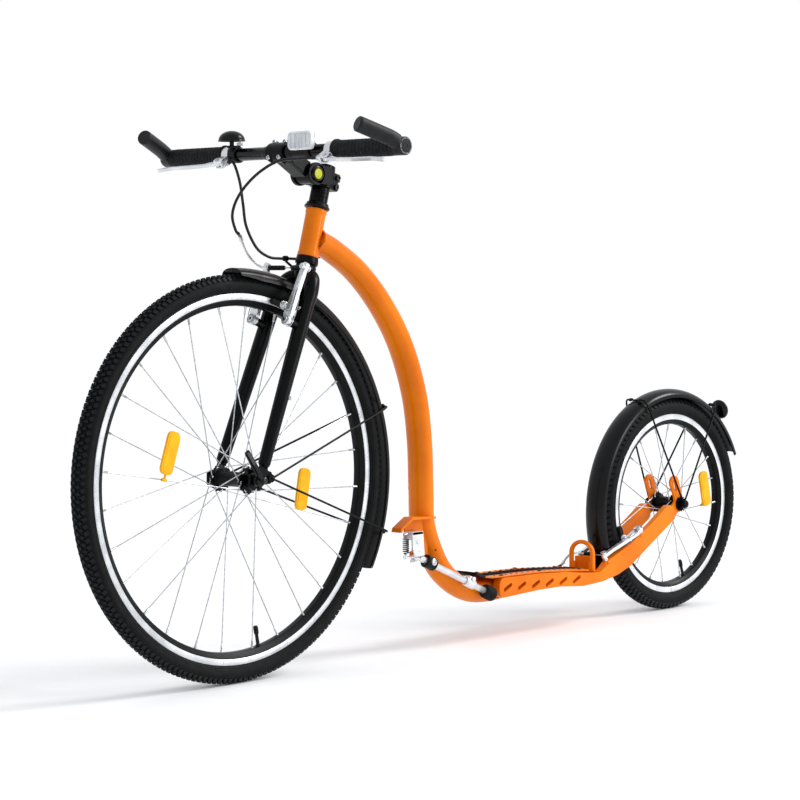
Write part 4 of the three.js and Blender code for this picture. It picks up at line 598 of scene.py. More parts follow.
def rim(w):
    o, t, i = w.rim_outer, w.track, w.rim_inner
    shape = Shape()
    half = [(t + 0.2, 9.5), (t + 0.2, 11.6), (t + 0.9, 12.0), (o - 1.6, 12.0), (o - 0.5, 11.7), (o - 0.1, 11.0),
            (o - 0.6, 10.4), (o - 3.5, 10.4)]
    shape.turned(mirrored(half), w.centre, Y, 180, closed=True)
    piece(f"{w.name}_rim_track", shape, w.rail, f"{w.name}_wheel", f"{w.name}_rim", sharp=30)
    shape = Shape()
    half = [(t + 0.1, 11.7), (t - 1.2, 11.9), (t - 4.0, 10.6), (i + 0.8, 7.4), (i, 5.4), (i - 0.1, 2.0)]
    shape.turned(mirrored(half), w.centre, Y, 180, closed=True)
    piece(f"{w.name}_rim_well", shape, RIM, f"{w.name}_wheel", f"{w.name}_rim", sharp=30)
    shape = Shape()
    foot, tip = polar(w.flat, i + 1, w.valve), polar(w.flat, i - w.stem, w.valve)
    way = unit(tip - foot)
    shape.turned([(0, 0), (5.2, 0), (5.2, 1.6), (4.2, 2.6), (3.2, 4), (3.0, w.stem - 15), (3.6, w.stem - 14.5),
                  (4.0, w.stem - 13.5), (4.0, w.stem - 1.5), (3.2, w.stem + 0.2), (0, w.stem + 0.6)],
                 foot, way, 24)
    e1 = unit(np.cross(way, Y))
    e2 = np.cross(way, e1)
    for a in turns(9):
        spot = foot + (e1 * cos(a) + e2 * sin(a)) * 3.9
        shape.rod(spot + way * (w.stem - 12.5), spot + way * (w.stem - 2.5), 0.5, sides=6)
    piece(f"{w.name}_valve", shape, PLASTIC, f"{w.name}_wheel", slot="tyre_rubber")


def hub(w):
    shape = Shape()
    r, y0, y1 = w.flange
    end_r, end_a, end_b = w.end
    half = [(w.body, 0), (w.body, y0 - 9), (w.body + 1.5, y0 - 5), (r - 5, y0 - 0.8), (r, y0), (r + 0.3, (y0 + y1) / 2),
            (r, y1), (r - 6, y1 + 0.4), (end_r + 4, y1 + 0.9), (end_r + 2.8, end_a + 0.3), (end_r, end_a + 1.5),
            (end_r, end_b - 0.6), (end_r - 0.8, end_b), (4.8, end_b)]
    profile = half + [(a, -b) for a, b in half[::-1][:-1]]
    shape.turned(profile, w.centre, Y, 64, closed=True)
    for side in BOTH:
        for a in turns(w.spokes // 2, 0.5):
            at = polar(w.flat, r + 0.2, a, (y0 + y1) / 2 * side)
            shape.ball(at, 2.2, Y, 1.2, 10, rows=7)
    for a in turns(24):
        for side in BOTH:
            at = polar(w.flat, end_r + 3.0, a, (y1 + 1.2) * side)
            shape.rod(at, at + Y * side * 1.8, 0.9, 0.6, 8)
    piece(f"{w.name}_hub_shell", shape, BLACK, f"{w.name}_wheel", f"{w.name}_hub", sharp=35)
    wire, ends = Shape(), Shape()
    for foot, tip, side, lead in spoke_lines(w):
        way = unit(tip - foot)
        out = Y * side * (1 if lead > 0 else -1)
        bend = foot + out * 0.6
        line = smooth([foot - out * 2.6, foot - out * 0.2, bend + way * 1.6, foot + way * 7, mix(foot, tip, 0.5),
                       tip], 4)
        wire.tube(line, 1.0, 8)
        ends.ball(foot + out * 1.4, 1.9, Y, 0.6, 10, rows=6)
        ends.turned([(0, -13.5), (1.2, -13.2), (1.9, -12), (1.9, -3), (2.6, -1.5), (2.6, 1.5), (0, 1.5)], tip, way, 12)
    piece(f"{w.name}_spokes", wire, SPOKE, f"{w.name}_wheel", f"{w.name}_hub")
    piece(f"{w.name}_nipples", ends, STEEL, f"{w.name}_wheel", slot="spoke_steel")


def spoke_reflector(w, name, spot):
    out = arr([spot[0] - w.centre[0], 0, spot[1] - w.centre[2]])
    near = np.linalg.norm(out) - 13.5
    share = (near - w.ring) / (w.rim_inner - w.ring)
    y = (w.offset + 1.3) * (1 - share) + 1.1 + 1.6 + 3.5
    radial = unit(out)
    tangent = tangent_to(radial)
    at = arr([spot[0], y, spot[1]])
    shape = Shape().slab(box_outline(74, 27, 11, 9), at, tangent, radial, 5.4)
    shape.slab(box_outline(68, 21, 9, 9), at, tangent, radial, 7)
    piece(name + "_lens", shape, AMBER, f"{w.name}_wheel", name, bevel=1.1, segments=3)
    shape = Shape()
    best = None
    for foot, tip, side, _ in spoke_lines(w):
        if side < 0:
            continue
        d = unit(tip - foot)
        p = foot + d * float(np.clip((at - foot) @ d, 0, np.linalg.norm(tip - foot)))
        if best is None or np.linalg.norm(p - at) < np.linalg.norm(best[0] - at):
            best = (p, d)
    p, d = best
    shape.rod(at, p, 2.0, sides=14)
    shape.ring(2.7, 1.1, -5, 5, p, d, 16)
    piece(name + "_clip", shape, AMBER, f"{w.name}_wheel", bevel=0.3)


for wheel in (FRONT, REAR):
    tyre(wheel)
    rim(wheel)
    hub(wheel)
spoke_reflector(FRONT, "front_wheel_reflector_a", (165, 406))
spoke_reflector(FRONT, "front_wheel_reflector_b", (-133, 325))
spoke_reflector(REAR, "rear_wheel_reflector", (-1307, 240))

# ---------------------------------------------------------------- headset and frame
FOOT = arr([-178.0, 0, 719])
LEAN = 74.3 * DEG
UP = arr([-cos(LEAN), 0, sin(LEAN)])
BACK = arr([-sin(LEAN), 0, -cos(LEAN)])


def steer(height, out=0.0):
    return FOOT + UP * height + BACK * out


def steer_turned(name, profile, look, body, node, **more):
    shape = Shape().turned(profile, FOOT, UP, 72, closed=True)
    piece(name, shape, look, body, node, **more)


steer_turned("head_tube_body", [(15.4, 9.5), (18.6, 9.5), (18.9, 10.2), (18.9, 15), (18.1, 17.5), (18, 20), (18, 84),
             (18.1, 87), (18.9, 89.5), (18.9, 94.8), (18.6, 95.5), (15.4, 95.5)], ORANGE, "frame",
             "head_tube", sharp=30)
steer_turned("lower_cup_body", [(15.1, -5), (18.6, -5), (20, -4), (20.2, -1), (20.2, 4), (19.4, 6), (19.2, 9.2),
             (15.1, 9.2)], BLACK, "frame", "lower_cup", sharp=30)
steer_turned("upper_cup_body", [(15.1, 95.8), (19.4, 95.8), (20, 96.4), (22.3, 97.8), (22.5, 98.6), (22.5, 100.6),
             (21.9, 101.4), (20.4, 102), (20.2, 104), (19.4, 106.8), (18, 107.5), (15.1, 107.5)], GLOSS, "frame",
             "upper_cup", sharp=30)
steps = [(14.5, 107.8)]
for low, high in ((107.8, 117.4), (117.6, 124.4), (124.6, 134.7)):
    steps += [(16.0, low), (16.5, low + 0.5), (16.5, high - 0.5), (16.0, high)]
steps.append((14.5, 134.7))
steer_turned("spacer_rings", steps, BLACK, "steering", "spacer_stack", sharp=30)

TUBE_LINE = [(-199, 0, 757), (-240, 0, 739), (-302, 0, 700), (-362, 0, 641), (-412, 0, 568), (-447, 0, 478),
             (-461, 0, 389), (-464, 0, 300), (-468, 0, 230), (-501, 0, 160), (-541, 0, 122), (-586, 0, 100),
             (-630, 0, 93.5), (-690, 0, 96)]
line = even(smooth(TUBE_LINE, 16), 170)
shape = Shape().swept(line, circle(25.5, 56, 21), Y, caps=True)
points = shape.points[0]
rel = points - FOOT
height = rel @ UP
off = rel - height[:, None] * UP
far = np.linalg.norm(off, axis=1)
near = (far < 17.0) & (height < 110)
away = np.where(far[:, None] < 0.5, BACK * 0.5, off)
away /= np.maximum(np.linalg.norm(away, axis=1), 0.01)[:, None]
points[near] = (FOOT + height[:, None] * UP + away * 17.0)[near]
piece("main_tube_body", shape, ORANGE, "frame", "main_tube", sharp=50)

# Black disc painted in as the shade inside a small vent hole low on the left of the tube
vent = [(0, 0.1), (1.3, 0.1), (1.7, 0.4), (1.9, 0.1), (2.0, -1.5)]
shape = Shape().turned(vent, (-476.7, 23.8, 187.2), (0.382, 0.905, -0.189), 24)
piece("tube_vent_painted_shade", shape, PLASTIC, "frame")

# Weld bead where the tube meets the head tube
bead = []
sides, ups = directions(line, Y)
for a in 2 * np.pi * np.arange(120) / 120:
    ray = line + 25.5 * cos(a) * sides + 21 * sin(a) * ups
    out = ray - FOOT
    reach = np.linalg.norm(out - (out @ UP)[:, None] * UP, axis=1)
    k = int(np.argmax(reach > 18.6))
    if k:
        share = (18.6 - reach[k - 1]) / (reach[k] - reach[k - 1])
        bead.append(mix(ray[k - 1], ray[k], share))
    else:
        bead.append(ray[0])
bead = np.array(bead)
shape = Shape()
count = 240
bead = np.vstack([bead, bead[:1]])
bead = even(bead, count + 1)[:-1]
shape.tube(bead, 1.9 + 0.35 * np.sin(np.arange(count) * 2 * np.pi / 5), 8, closed=True)
piece("tube_weld", shape, WELD, "frame")

RAIL = [(-633, 82), (-746, 87), (-809, 87), (-880, 81), (-937, 84), (-962, 87), (-962, 121.6), (-936, 104),
        (-912, 103.5), (-830, 113.5), (-746, 118.5), (-633, 120.5)]
STAY = [(-938, 84), (-975, 88), (-997, 93), (-1034, 106), (-1184, 191), (-1166, 223), (-1100, 183), (-1034, 150),
        (-960, 121), (-941, 106)]
for side, word in SIDES:
    slots = [capsule(mix((-657, 101), (-860, 96), i / 5), 26, 7, -25 * DEG) for i in range(6)]
    shape = Shape().plate(rounded(RAIL, 30, 6), 25.8, 42, side, slots)
    shape.plate(rounded(STAY, 34, 6), 25, 37, side)
    piece(f"side_member_{word}_body", shape, ORANGE, "frame", f"side_member_{word}", bevel=2.6, segments=4)
    shape = Shape()
    seam = smooth([(-962, 37.6, 88), (-963, 38.2, 104), (-962, 37.6, 120)], 14)
    shape.tube(flip(seam, side), 1.8 + 0.3 * np.sin(np.arange(len(seam)) * 1.6), 8)
    seam = smooth([(-634, 26, 84), (-634, 30, 83), (-634, 34, 82.6), (-634, 40, 83)], 14)
    shape.tube(flip(seam, side), 1.5 + 0.3 * np.sin(np.arange(len(seam)) * 1.6), 8)
    piece(f"rail_weld_{word}", shape, WELD, "frame")
    shape = Shape()
    outline = arc(REAR.flat, 14, 118, 244, 18, 0.4) + arc((-1147, 190), 12, -116, -64, 8)
    outline += arc((-1147, 190), 12, -40, 60, 8) + [(-1180, 219), (-1184, 224), (-1183, 232)]
    outline += arc((-1183, 262), 14, -10, 150, 14)
    ear = capsule((-1184, 256), 24, 7, 70 * DEG)
    shape.plate(outline, 29.3, 34.3, side, [ear])
    piece(f"dropout_{word}_plate", shape, ORANGE, "frame", f"dropout_{word}", bevel=0.9)

# Deck plate with its grip mat
DECK_TOP = [(-572, 137), (-590, 129.5), (-612, 125.5), (-634, 124), (-746, 122), (-830, 117), (-902, 111.3)]
top = smooth([(x, 0, z) for x, z in DECK_TOP], 8)[:, [0, 2]]


def deck_height(x):
    return float(np.interp(-x, -top[:, 0], top[:, 1]))


shape = Shape().plate(np.vstack([top, top[::-1] - [0, 3.2]]), -38, 38)
for x in np.linspace(-636, -892, 17):
    z = deck_height(x)
    for side in BOTH:
        shape.turned([(0, 1.6), (1.8, 1.4), (2.9, 0.3), (3.2, -0.5)], (x, 27 * side, z), UP, 20)
piece("deck_plate_sheet", shape, ORANGE, "frame", "deck_plate", bevel=1.0)
shape = Shape().plate(np.vstack([top + [0, 0.5], top[::-1] - [0, 1]]), -16, 16)
for x in np.linspace(-600, -896, 38):
    z = deck_height(x)
    tall = 2.0 if (int((x + 600) / -8) % 4) == 0 else 1.2
    shape.box((x - 2.0, -14.8, z - 1), (x + 2.0, 14.8, z + tall))
piece("deck_grip_mat", shape, DECK, "frame", bevel=0.3)
shape = Shape()
nose = [p for p in top if p[0] > -600]
shape.plate(np.vstack([arr(nose) + [0, 0.6], arr(nose)[::-1] - [0, 3.6]]), -38.6, 38.6)
piece("deck_front_lip", shape, PLASTIC, "frame", bevel=0.4)
for x in (-650, -760, -880):
    shape = Shape()
    z = deck_height(x)
    for side in BOTH:
        shape.turned([(0, 0), (4.2, 0), (4.2, 1.0), (3, 2.1), (1.6, 2.1), (1.6, 1.2), (0, 1.2)],
                     (x, 31.5 * side, z - 0.2), Z, 24)
    piece(f"deck_rivets_{-x}", shape, DARK, "frame")

# Hoop, cross plate and saddle
hoop = [(-927, -27, 104.9), (-927, -27, 120)]
for a in np.linspace(180, 0, 25):
    hoop.append((-927, 27 * cos(a * DEG), 138 + 23 * sin(a * DEG)))
hoop += [(-927, 27, 120), (-927, 27, 104.9)]
shape = Shape().swept(even(smooth(hoop, 3), 70), box_outline(9.4, 8.2, 2.6, 5), X)
shape.box((-984, -24.7, 91.5), (-911, 24.7, 97.5))
curve = [(-934 - 13 * cos(s * pi / 2), 24.7 * s) for s in np.linspace(-1, 1, 25)]
shape.slab(curve + [(x - 4, y) for x, y in curve[::-1]], (0, 0, 112.5), X, Y, 37)
for side in BOTH:
    shape.plate([(-923.5, 93), (-923.5, 122), (-930.5, 122), (-930.5, 93)], 19, 24.7, side)
piece("rear_hoop_body", shape, ORANGE, "frame", "rear_hoop", bevel=0.8, segments=3)

# Rear axle, its nuts and caps
shape = Shape().rod((-1200, -51, 217.5), (-1200, 51, 217.5), 4.4)
for side in BOTH:
    at = REAR.centre
    shape.turned([(0, 34.5), (11, 34.5), (11, 35.8), (9.4, 36)], at, Y * side, 40)
    shape.turned([(0, 34.4), (14.6, 34.4), (15, 35.4), (13, 37.4), (9, 38), (0, 38)], at, Y * side, 48)
    for a in turns(16):
        shape.rod(polar(REAR.flat, 9, a, 37 * side), polar(REAR.flat, 15.6, a, 39.6 * side), 1.8, 1.0, 8)
    shape.nut(at, Y * side, 9, 36, 41.8)
    shape.turned([(4.4, 46), (8, 46), (8.2, 48), (7.4, 51), (4.5, 52), (0, 52)], at, Y * side, 32)
    for a in turns(10):
        tip = polar(REAR.flat, 8.4, a, 49 * side)
        shape.rod(polar(REAR.flat, 5, a, 48 * side), tip, 1.2, 0.9, 8)
piece("rear_axle_set", shape, BLACK, "frame", "rear_axle", bevel=0.4)

# ---------------------------------------------------------------- fork
LEG_TOP, LEG_FOOT = (-141, 41.2, 658), (-21, 53, 379)
shape = Shape()
shape.turned([(0, -30), (17, -30), (18.6, -27), (18.6, -9), (17, -5.3), (14.2, -5.3), (14.2, 134), (14.2, 168.6),
              (13.2, 170), (0, 170)], FOOT, UP, 64)
for side in BOTH:
    shoulder = [(-174, -4, 694), (-171, 6, 694), (-168, 17, 694), (-160, 31, 687), (-148, 39.8, 668), (-140, 41.3, 653)]
    path = smooth([flip(p, side) for p in shoulder], 8)
    leg = [flip(mix(LEG_TOP, LEG_FOOT, s), side) for s in np.linspace(0.04, 1, 30)]
    run = np.vstack([path[:-4], leg])
    sizes = np.concatenate([np.linspace(13.6, 13.9, len(path) - 4), np.linspace(14.2, 10.8, len(leg))])
    shape.tube(run, sizes, 40)
    shape.ball(flip(LEG_FOOT, side), 10.8, unit(flip(arr(LEG_FOOT) - LEG_TOP, side)), 0.8, 32)
    TIP = [(-37, 396), (-22, 398), (-6, 365), (14, 362), (15, 340), (5, 331), (5, 348), (4, 352), (0, 354.8),
           (-4, 352), (-5, 348), (-5, 332), (-9, 333), (-16, 342), (-33, 343), (-41, 351), (-35, 363), (-26, 366)]
    shape.plate(rounded(TIP, 3, 4), 50.2, 55.4, side)
    shape.turned([(0, -0.6), (5.4, -0.6), (5.6, 0), (5.4, 0.7), (0, 0.7)], (-29, 55.4 * side, 353), Y * side, 24)
piece("fork_body", shape, BLACK, "steering", "fork", bevel=0.7, sharp=45)
shape = Shape()
for side in BOTH:
    for share, way in ((0.0645, (1, 0, 0)), (0.613, (-0.7, 0.7, 0))):
        at, way = flip(mix(LEG_TOP, LEG_FOOT, share), side), unit(flip(way, side))
        shape.turned([(0, 11), (3.8, 12.5), (3.8, 13.6), (3.4, 14.2), (3.0, 16.6), (1.6, 16.8), (1.5, 15.2), (0, 15.2)],
                     at, way, 24)
piece("fork_screws", shape, STEEL, "steering", bevel=0.2)
shape = Shape()
at, way = arr((-150, -24, 726)), unit((-1, -0.15, 0))
shape.ring(5, 2.9, -4, 4, at, way, 32)
shape.rod((-166, -9, 702), at - Z * 4.4, 2.2)
piece("cable_clip", shape, BLACK, "steering", bevel=0.4)


# ---------------------------------------------------------------- brakes
FRONT_BRAKE = SimpleNamespace(
    name="front", pivot=(-88, 42, 620), along=arr((-0.402, 0, 0.916)), foot=30, wheel=FRONT, thick=9,
    outline=[(9.5, 12), (9, 50), (10, 88), (12.5, 107), (0.5, 107), (-1, 86), (-4, 50), (-9, 12)],
    clamp=(6.5, 98), boot=(-3, -40), base="steering")
REAR_BRAKE = SimpleNamespace(
    name="rear", pivot=(-1064.8, 33, 173.6), along=arr((0.931, 0, -0.365)), foot=-12, wheel=REAR,
    thick=8, outline=[(9, 14), (6, 50), (1.5, 88), (1.5, 120), (-6, 120), (-6, 88), (-4, 50), (-8, 14)],
    clamp=(-2.7, 112.5), boot=(6, -19), base="frame")
NOODLES = {
    "front": [(-126, -60, 711), (-114, -67, 721), (-98, -66, 735), (-78, -55, 751), (-60, -43, 766)],
    "rear": [(-959.5, -43, 132.4), (-953, -52, 130), (-941, -53, 123), (-924, -48.8, 113)],
}


def brake(b):
    for side, word in SIDES:
        body = f"{b.name}_brake_{word}"
        pivot, out = flip(b.pivot, side), Y * side
        across = np.cross(out, b.along)

        def local(p, q, r=0.0, pivot=pivot, out=out, across=across):
            return pivot + out * p + b.along * q + across * r

        arm = Shape()
        half = b.thick / 2
        arm.turned(collar(4.7, 9.2, -half, half, 0.6, 0.8), pivot,
                   across, 40, closed=True)
        arm.slab(rounded([(8.6, 4), *b.outline, (-8.6, 4)], 7, 5), pivot, out, b.along, b.thick * 0.86)
        groove = [(p * 0.72 + (0.5 if p > 0 else -0.4), q) for p, q in b.outline]
        arm.slab(rounded([(q[0] * 0.55, 18 if q[1] < 20 else min(q[1], 84)) for q in groove], 4, 4), pivot, out,
                 b.along, b.thick * 1.02)
        p, q = b.clamp
        if side == 1:
            arm.rod(local(p, q, -7), local(p, q, 7), 4.6, sides=32)
            arm.nut(local(p, q), across, 5.4, 7, 10.0)
            arm.ring(6.2, 2, -8.2, -6.8, local(p, q), across, 32)
        else:
            arm.ring(5.4, 3.2, -3.4, 3.4, local(p, q), out, 32)
        w = b.wheel
        start = arr([pivot[0] - w.centre[0], 0, pivot[2] - w.centre[2]])
        mid = (w.track + w.rim_outer) / 2
        bb = start @ b.along
        reach = sqrt(bb * bb - start @ start + mid * mid) - bb
        spot = start + b.along * reach
        radial = unit(spot)
        tangent = tangent_to(radial)
        spot = spot + arr([w.centre[0], 0, w.centre[2]])
        for k in range(3):
            at = spot + Y * side * (21.4 + 3.1 * k)
            arm.turned([(3, -1.4), (6.6 - 0.5 * k, -1.3), (7.2 - 0.6 * k, 0), (6.6 - 0.5 * k, 1.3), (3, 1.4)],
                       at, Y, 28, closed=True)
        arm.rod(spot + Y * side * 20.5, spot + Y * side * (abs(pivot[1]) + 4), 3.2)
        arm.nut(spot, Y * side, 5, abs(pivot[1]) + 3.6, abs(pivot[1]) + 7.5)
        piece(f"{b.name}_brake_arm_{word}_body", arm, SILVER, body, f"{b.name}_brake_arm_{word}", bevel=0.7)
        pad = Shape().slab(box_outline(50, 8.6, 3.4, 6), spot + Y * side * 15.4, tangent, radial, 4.6)
        pad.slab(box_outline(48, 9, 3.4, 6), spot + Y * side * 19, tangent, radial, 3.2)
        for k in range(-2, 3):
            at = spot + tangent * (k * 9.0) + Y * side * 15.4
            pad.slab(box_outline(5.8, 9.2, 1.4, 4), at, tangent, radial, 4.9)
        piece(f"{b.name}_brake_pad_{word}", pad, SOLE, body, bevel=0.4)
        spring = Shape()
        coil = []
        for k in range(40):
            a = 2 * pi * k / 16
            coil.append(local(8.6 * cos(a), 8.6 * sin(a), -half - 0.9 - 0.045 * k))
        spring.tube(np.array(coil), 0.8, 8)
        rise = smooth([coil[0], local(11.2, 14, -half - 1), local(9.6, 34, -half - 0.6), local(5.2, 56, -half - 0.4),
                       local(2.0, 60, -half - 0.4)], 6)
        spring.tube(rise, 0.8, 8)
        piece(f"{b.name}_brake_spring_{word}", spring, STEEL, body)
        ahead = copysign(1, b.foot)
        normal = arr([b.along[2] * ahead, 0, -b.along[0] * ahead])
        boss = Shape().rod(pivot - normal * abs(b.foot), pivot + normal * (half + 2), 4.2)
        boss.turned([(0, -abs(b.foot)), (7.4, -abs(b.foot)), (7, -half - 2.4), (4.2, -half - 1.6)], pivot, normal, 32)
        piece(f"{b.name}_brake_boss_{word}", boss, BLACK if b.base == "steering" else ORANGE, b.base, bevel=0.4)
        bolt = Shape()
        bolt.turned([(0, half + 0.4), (6.5, half + 0.4), (6.5, half + 2.2), (5.6, half + 3.6), (2.6, half + 3.8),
                     (2.4, half + 1.8), (0, half + 1.8)], pivot, normal, 32)
        piece(f"{b.name}_brake_bolt_{word}", bolt, STEEL, b.base, bevel=0.3)
    # Wire, boot and noodle between the two arms
    p, q = b.clamp
    head = arr(b.pivot) + Y * p + b.along * q
    start, end = b.boot
    wire = Shape().rod(head, (head[0], start - 2, head[2]), 1.1, sides=12)
    wire.rod(head, head - b.along * 14 + Y * 3, 0.9, 0.7, sides=10)
    if b.name == "front":
        sleeve = Shape().turned([(2, 15), (4.2, 15.4), (4.6, 20), (4.6, head[1] - 9), (3.4, head[1] - 7)],
                                (head[0], 0, head[2]), Y, 24)
        piece("front_brake_sleeve", sleeve, PLASTIC, "front_brake_left", bevel=0.3)
    piece(f"{b.name}_brake_wire", wire, STEEL, f"{b.name}_brake_left")
    at = (head[0], 0, head[2])
    boot = Shape()
    profile = [(1.5, start - 14), (3.4, start)]
    y = start - 1
    while y > end + 3:
        profile += [(3.3, y), (4.4, y - 1.1), (3.3, y - 2.2)]
        y -= 2.2
    profile += [(3.9, end + 1), (3.9, end - 2), (2.6, end - 2.2)]
    boot.turned(profile, at, Y, 28)
    piece(f"{b.name}_brake_boot", boot, PLASTIC, f"{b.name}_brake_right", slot="rubber", bevel=0.2)
    y = -(b.pivot[1] + p)
    route = [(head[0], end, head[2]), (head[0], y + 5, head[2]), *NOODLES[b.name]]
    run = even(smooth(route, 10), 60)
    tube = Shape().tube(run, 2.5, 20)
    tube.tube(run[-9:], arr([3.1, 3.6, 3.6, 3.6, 3.6, 3.6, 3.6, 3.6, 3.2]), 20)
    tube.turned([(2.6, y - 5.5), (4.6, y - 5.4), (4.8, y - 4), (3.3, y + 1.5), (3.0, y + 3)], at, Y, 24)
    piece(f"{b.name}_noodle_tube", tube, SILVER, f"{b.name}_brake_right", f"{b.name}_brake_noodle")


brake(FRONT_BRAKE)
brake(REAR_BRAKE)

# ---------------------------------------------------------------- front axle and quick release
shape = Shape().rod((0, -62, 350), (0, 61, 350), 4.4)
shape.turned([(0, 55.7), (9, 55.7), (9.3, 57.5), (8.6, 60.6), (7, 61.2), (0, 61.2)], FRONT.centre, Y, 40)
shape.turned([(0, 55.7), (8.5, 55.7), (9, 57), (8, 61), (6.2, 63), (0, 63)], FRONT.centre, -Y, 40)
for a in turns(12):
    shape.rod(polar(FRONT.flat, 8.3, a, -57), polar(FRONT.flat, 7.6, a, -61), 0.9, sides=8)
piece("front_axle_skewer", shape, DARK, "steering", "front_axle", bevel=0.3)
arm = arr((0.5, 0, 0.866))
hinge = np.cross(arm, Y)
at = arr((0, 68.6, 350))
LEVER = [(0, -5), (18, -4), (34, -3.5), (56, -7), (61, -6), (61, -1), (56, 0), (34, 3), (18, 4), (0, 5)]
shape = Shape().turned(collar(0, 7, -8, 8, 0.6, 0.8), at, hinge, 40)
shape.slab(rounded(LEVER, 5, 5), at, arm, Y, 8)
shape.slab(rounded([(14, -2.4), (52, -4.6), (57, -3.4), (52, -1.2), (14, 2.4)], 3, 4), at, arm, Y, 11)
piece("quick_release_arm", shape, GLOSS, "quick_release", "quick_release_lever", bevel=0.9, segments=3)


# ---------------------------------------------------------------- fenders
def fender(name, centre, radius, half, drop, thick, low, high, body, node, post=None, slant=0):
    count = 130
    angles = np.linspace(low, high, count)
    line = arr([polar(centre, radius, a) for a in angles])
    t = np.linspace(0, pi, 29)
    outer = [(half * cos(a), drop * (sin(a) ** 0.9 - 1)) for a in t]
    inner = [(p * (1 - thick / half), q - thick * 0.9) for p, q in outer]
    lip = [(half + 0.1, -drop - 0.6), (half - thick, -drop - 1.2)]
    section = outer[1:-1] + [(-lip[0][0], lip[0][1]), (-lip[1][0], lip[1][1])] + inner[1:-1][::-1]
    section += [(lip[1][0], lip[1][1]), lip[0]]
    depth = np.ones(count)
    if slant:
        depth = np.interp(np.arange(count), (0, slant, 0.45 * count, count), (0.78, 1.25, 1.15, 0.8))
    shape = Shape()
    sides = np.broadcast_to(Y, line.shape)
    radial = arr([unit(p - arr((centre[0], 0, centre[1]))) for p in line])
    s = arr(section)
    fall = depth[:, None, None] * s[None, :, 1, None]
    points = line[:, None] + s[:, 0, None] * sides[:, None] + fall * radial[:, None]
    m = len(section)
    faces = weave(count, m) + [tuple(range(m))[::-1], tuple(range((count - 1) * m, count * m))]
    shape.add(points.reshape(-1, 3), faces)
    if post:
        shape.rod(post[0], post[1], 5, sides=28)
        shape.turned([(0, -1.5), (9, -1.5), (9, 1.0), (0, 1.0)], post[1], UP, 32)
    piece(name, shape, GLOSS, body, node, sharp=32)


FRONT_ARC, REAR_ARC = ((-4, 348), 363), ((-1199, 210), 242.5)
fender("front_fender_shell", *FRONT_ARC, 25, 16, 2, 89.5 * DEG, 210 * DEG, "steering", "front_fender",
       (steer(-39.8), steer(-49.3)), 9)
rear_low = -asin((210 - 97.5 - GAP) / 242.5)
fender("rear_fender_shell", *REAR_ARC, 24.2, 17, 2.4, rear_low, 155.4 * DEG, "frame", "rear_fender")


def stays(name, centre, radius, drop, eye, angles, body, node, lift, bore):
    shape, clips = Shape(), Shape()
    over, low = radius + 1.9 + GAP, radius - drop - 1.9
    for side in BOTH:
        at = flip(eye, side)
        shape.ring(7, bore, -1.6, 1.6, at, Y, 36)
    for angle in angles:
        edges = []
        for side in BOTH:
            foot = flip((eye[0], eye[1] + lift, eye[2]), side)
            edges.append((foot, polar(centre, low, angle, 28.5 * side), polar(centre, over, angle, 21.5 * side)))
        (f0, e0, c0), (f1, e1, c1) = edges
        arch = smooth([e0, c0, polar(centre, over, angle), c1, e1], 10)
        shape.tube(arch, 1.9, 14)
        for foot, edge, _ in edges:
            shape.rod(foot, edge, 1.9, sides=14)
            shape.ball(edge, 1.9, Z, 1, 12, rows=7)
        radial = unit(polar((0, 0), 1, angle))
        tangent = tangent_to(radial)
        for side in BOTH:
            at = polar(centre, over + 0.8, angle, 12 * side)
            clips.slab(box_outline(9, 9, 2.5, 5), at, tangent, Y, 3.4)
            clips.turned([(0, 1.2), (2.8, 1.4), (2.6, 2.8), (1.2, 3.2), (0, 3.2)], at, radial, 20)
    piece(name, shape, BLACK, body, node, bevel=0.25)
    piece(name + "_clips", clips, PLASTIC, body, bevel=0.4)


stays("front_stay_wires", *FRONT_ARC, 9, (-33, 57.3, 352), (162.5 * DEG, 198.5 * DEG), "steering",
      "front_fender_stay", 1.4, 2.0)
stays("rear_stay_wires", *REAR_ARC, 13, (-1200, 44.2, 217.5), (66 * DEG, 124 * DEG), "frame",
      "rear_fender_stay", 0, 4.8)

# Rear reflector in its cup
at = polar(REAR_ARC[0], 262.5, 133.5 * DEG)
facing = unit((-0.97, 0, 0.243))
shape = Shape()
shape.turned([(0, -6.5), (9, -6.5), (13.5, -5.6), (17.5, -2.6), (20, 1.2), (20.4, 2), (20.4, 4.4), (19.6, 6.2),
              (18.2, 6.5), (17.6, 5.2), (0, 5.2)], at, facing, 64)
shape.ring(8, 5, -8.4, -6, at, facing, 36)
foot = polar(REAR_ARC[0], 244.8, 136 * DEG)
radial = polar((0, 0), 1, 136 * DEG)
tangent = tangent_to(radial)
shape.rod(foot, at - facing * 4, 4.2, 3.4)
shape.slab(box_outline(14, 12, 3, 5), foot, tangent, Y, 4)
piece("rear_reflector_cup", shape, GLOSS, "frame", "rear_reflector", bevel=0.4)
shape = Shape().turned([(0, 6.8), (8, 6.7), (15, 6.3), (17.3, 5.9), (17.4, 5.0), (0, 5.0)], at, facing, 64)
piece("rear_reflector_lens", shape, RED, "frame")

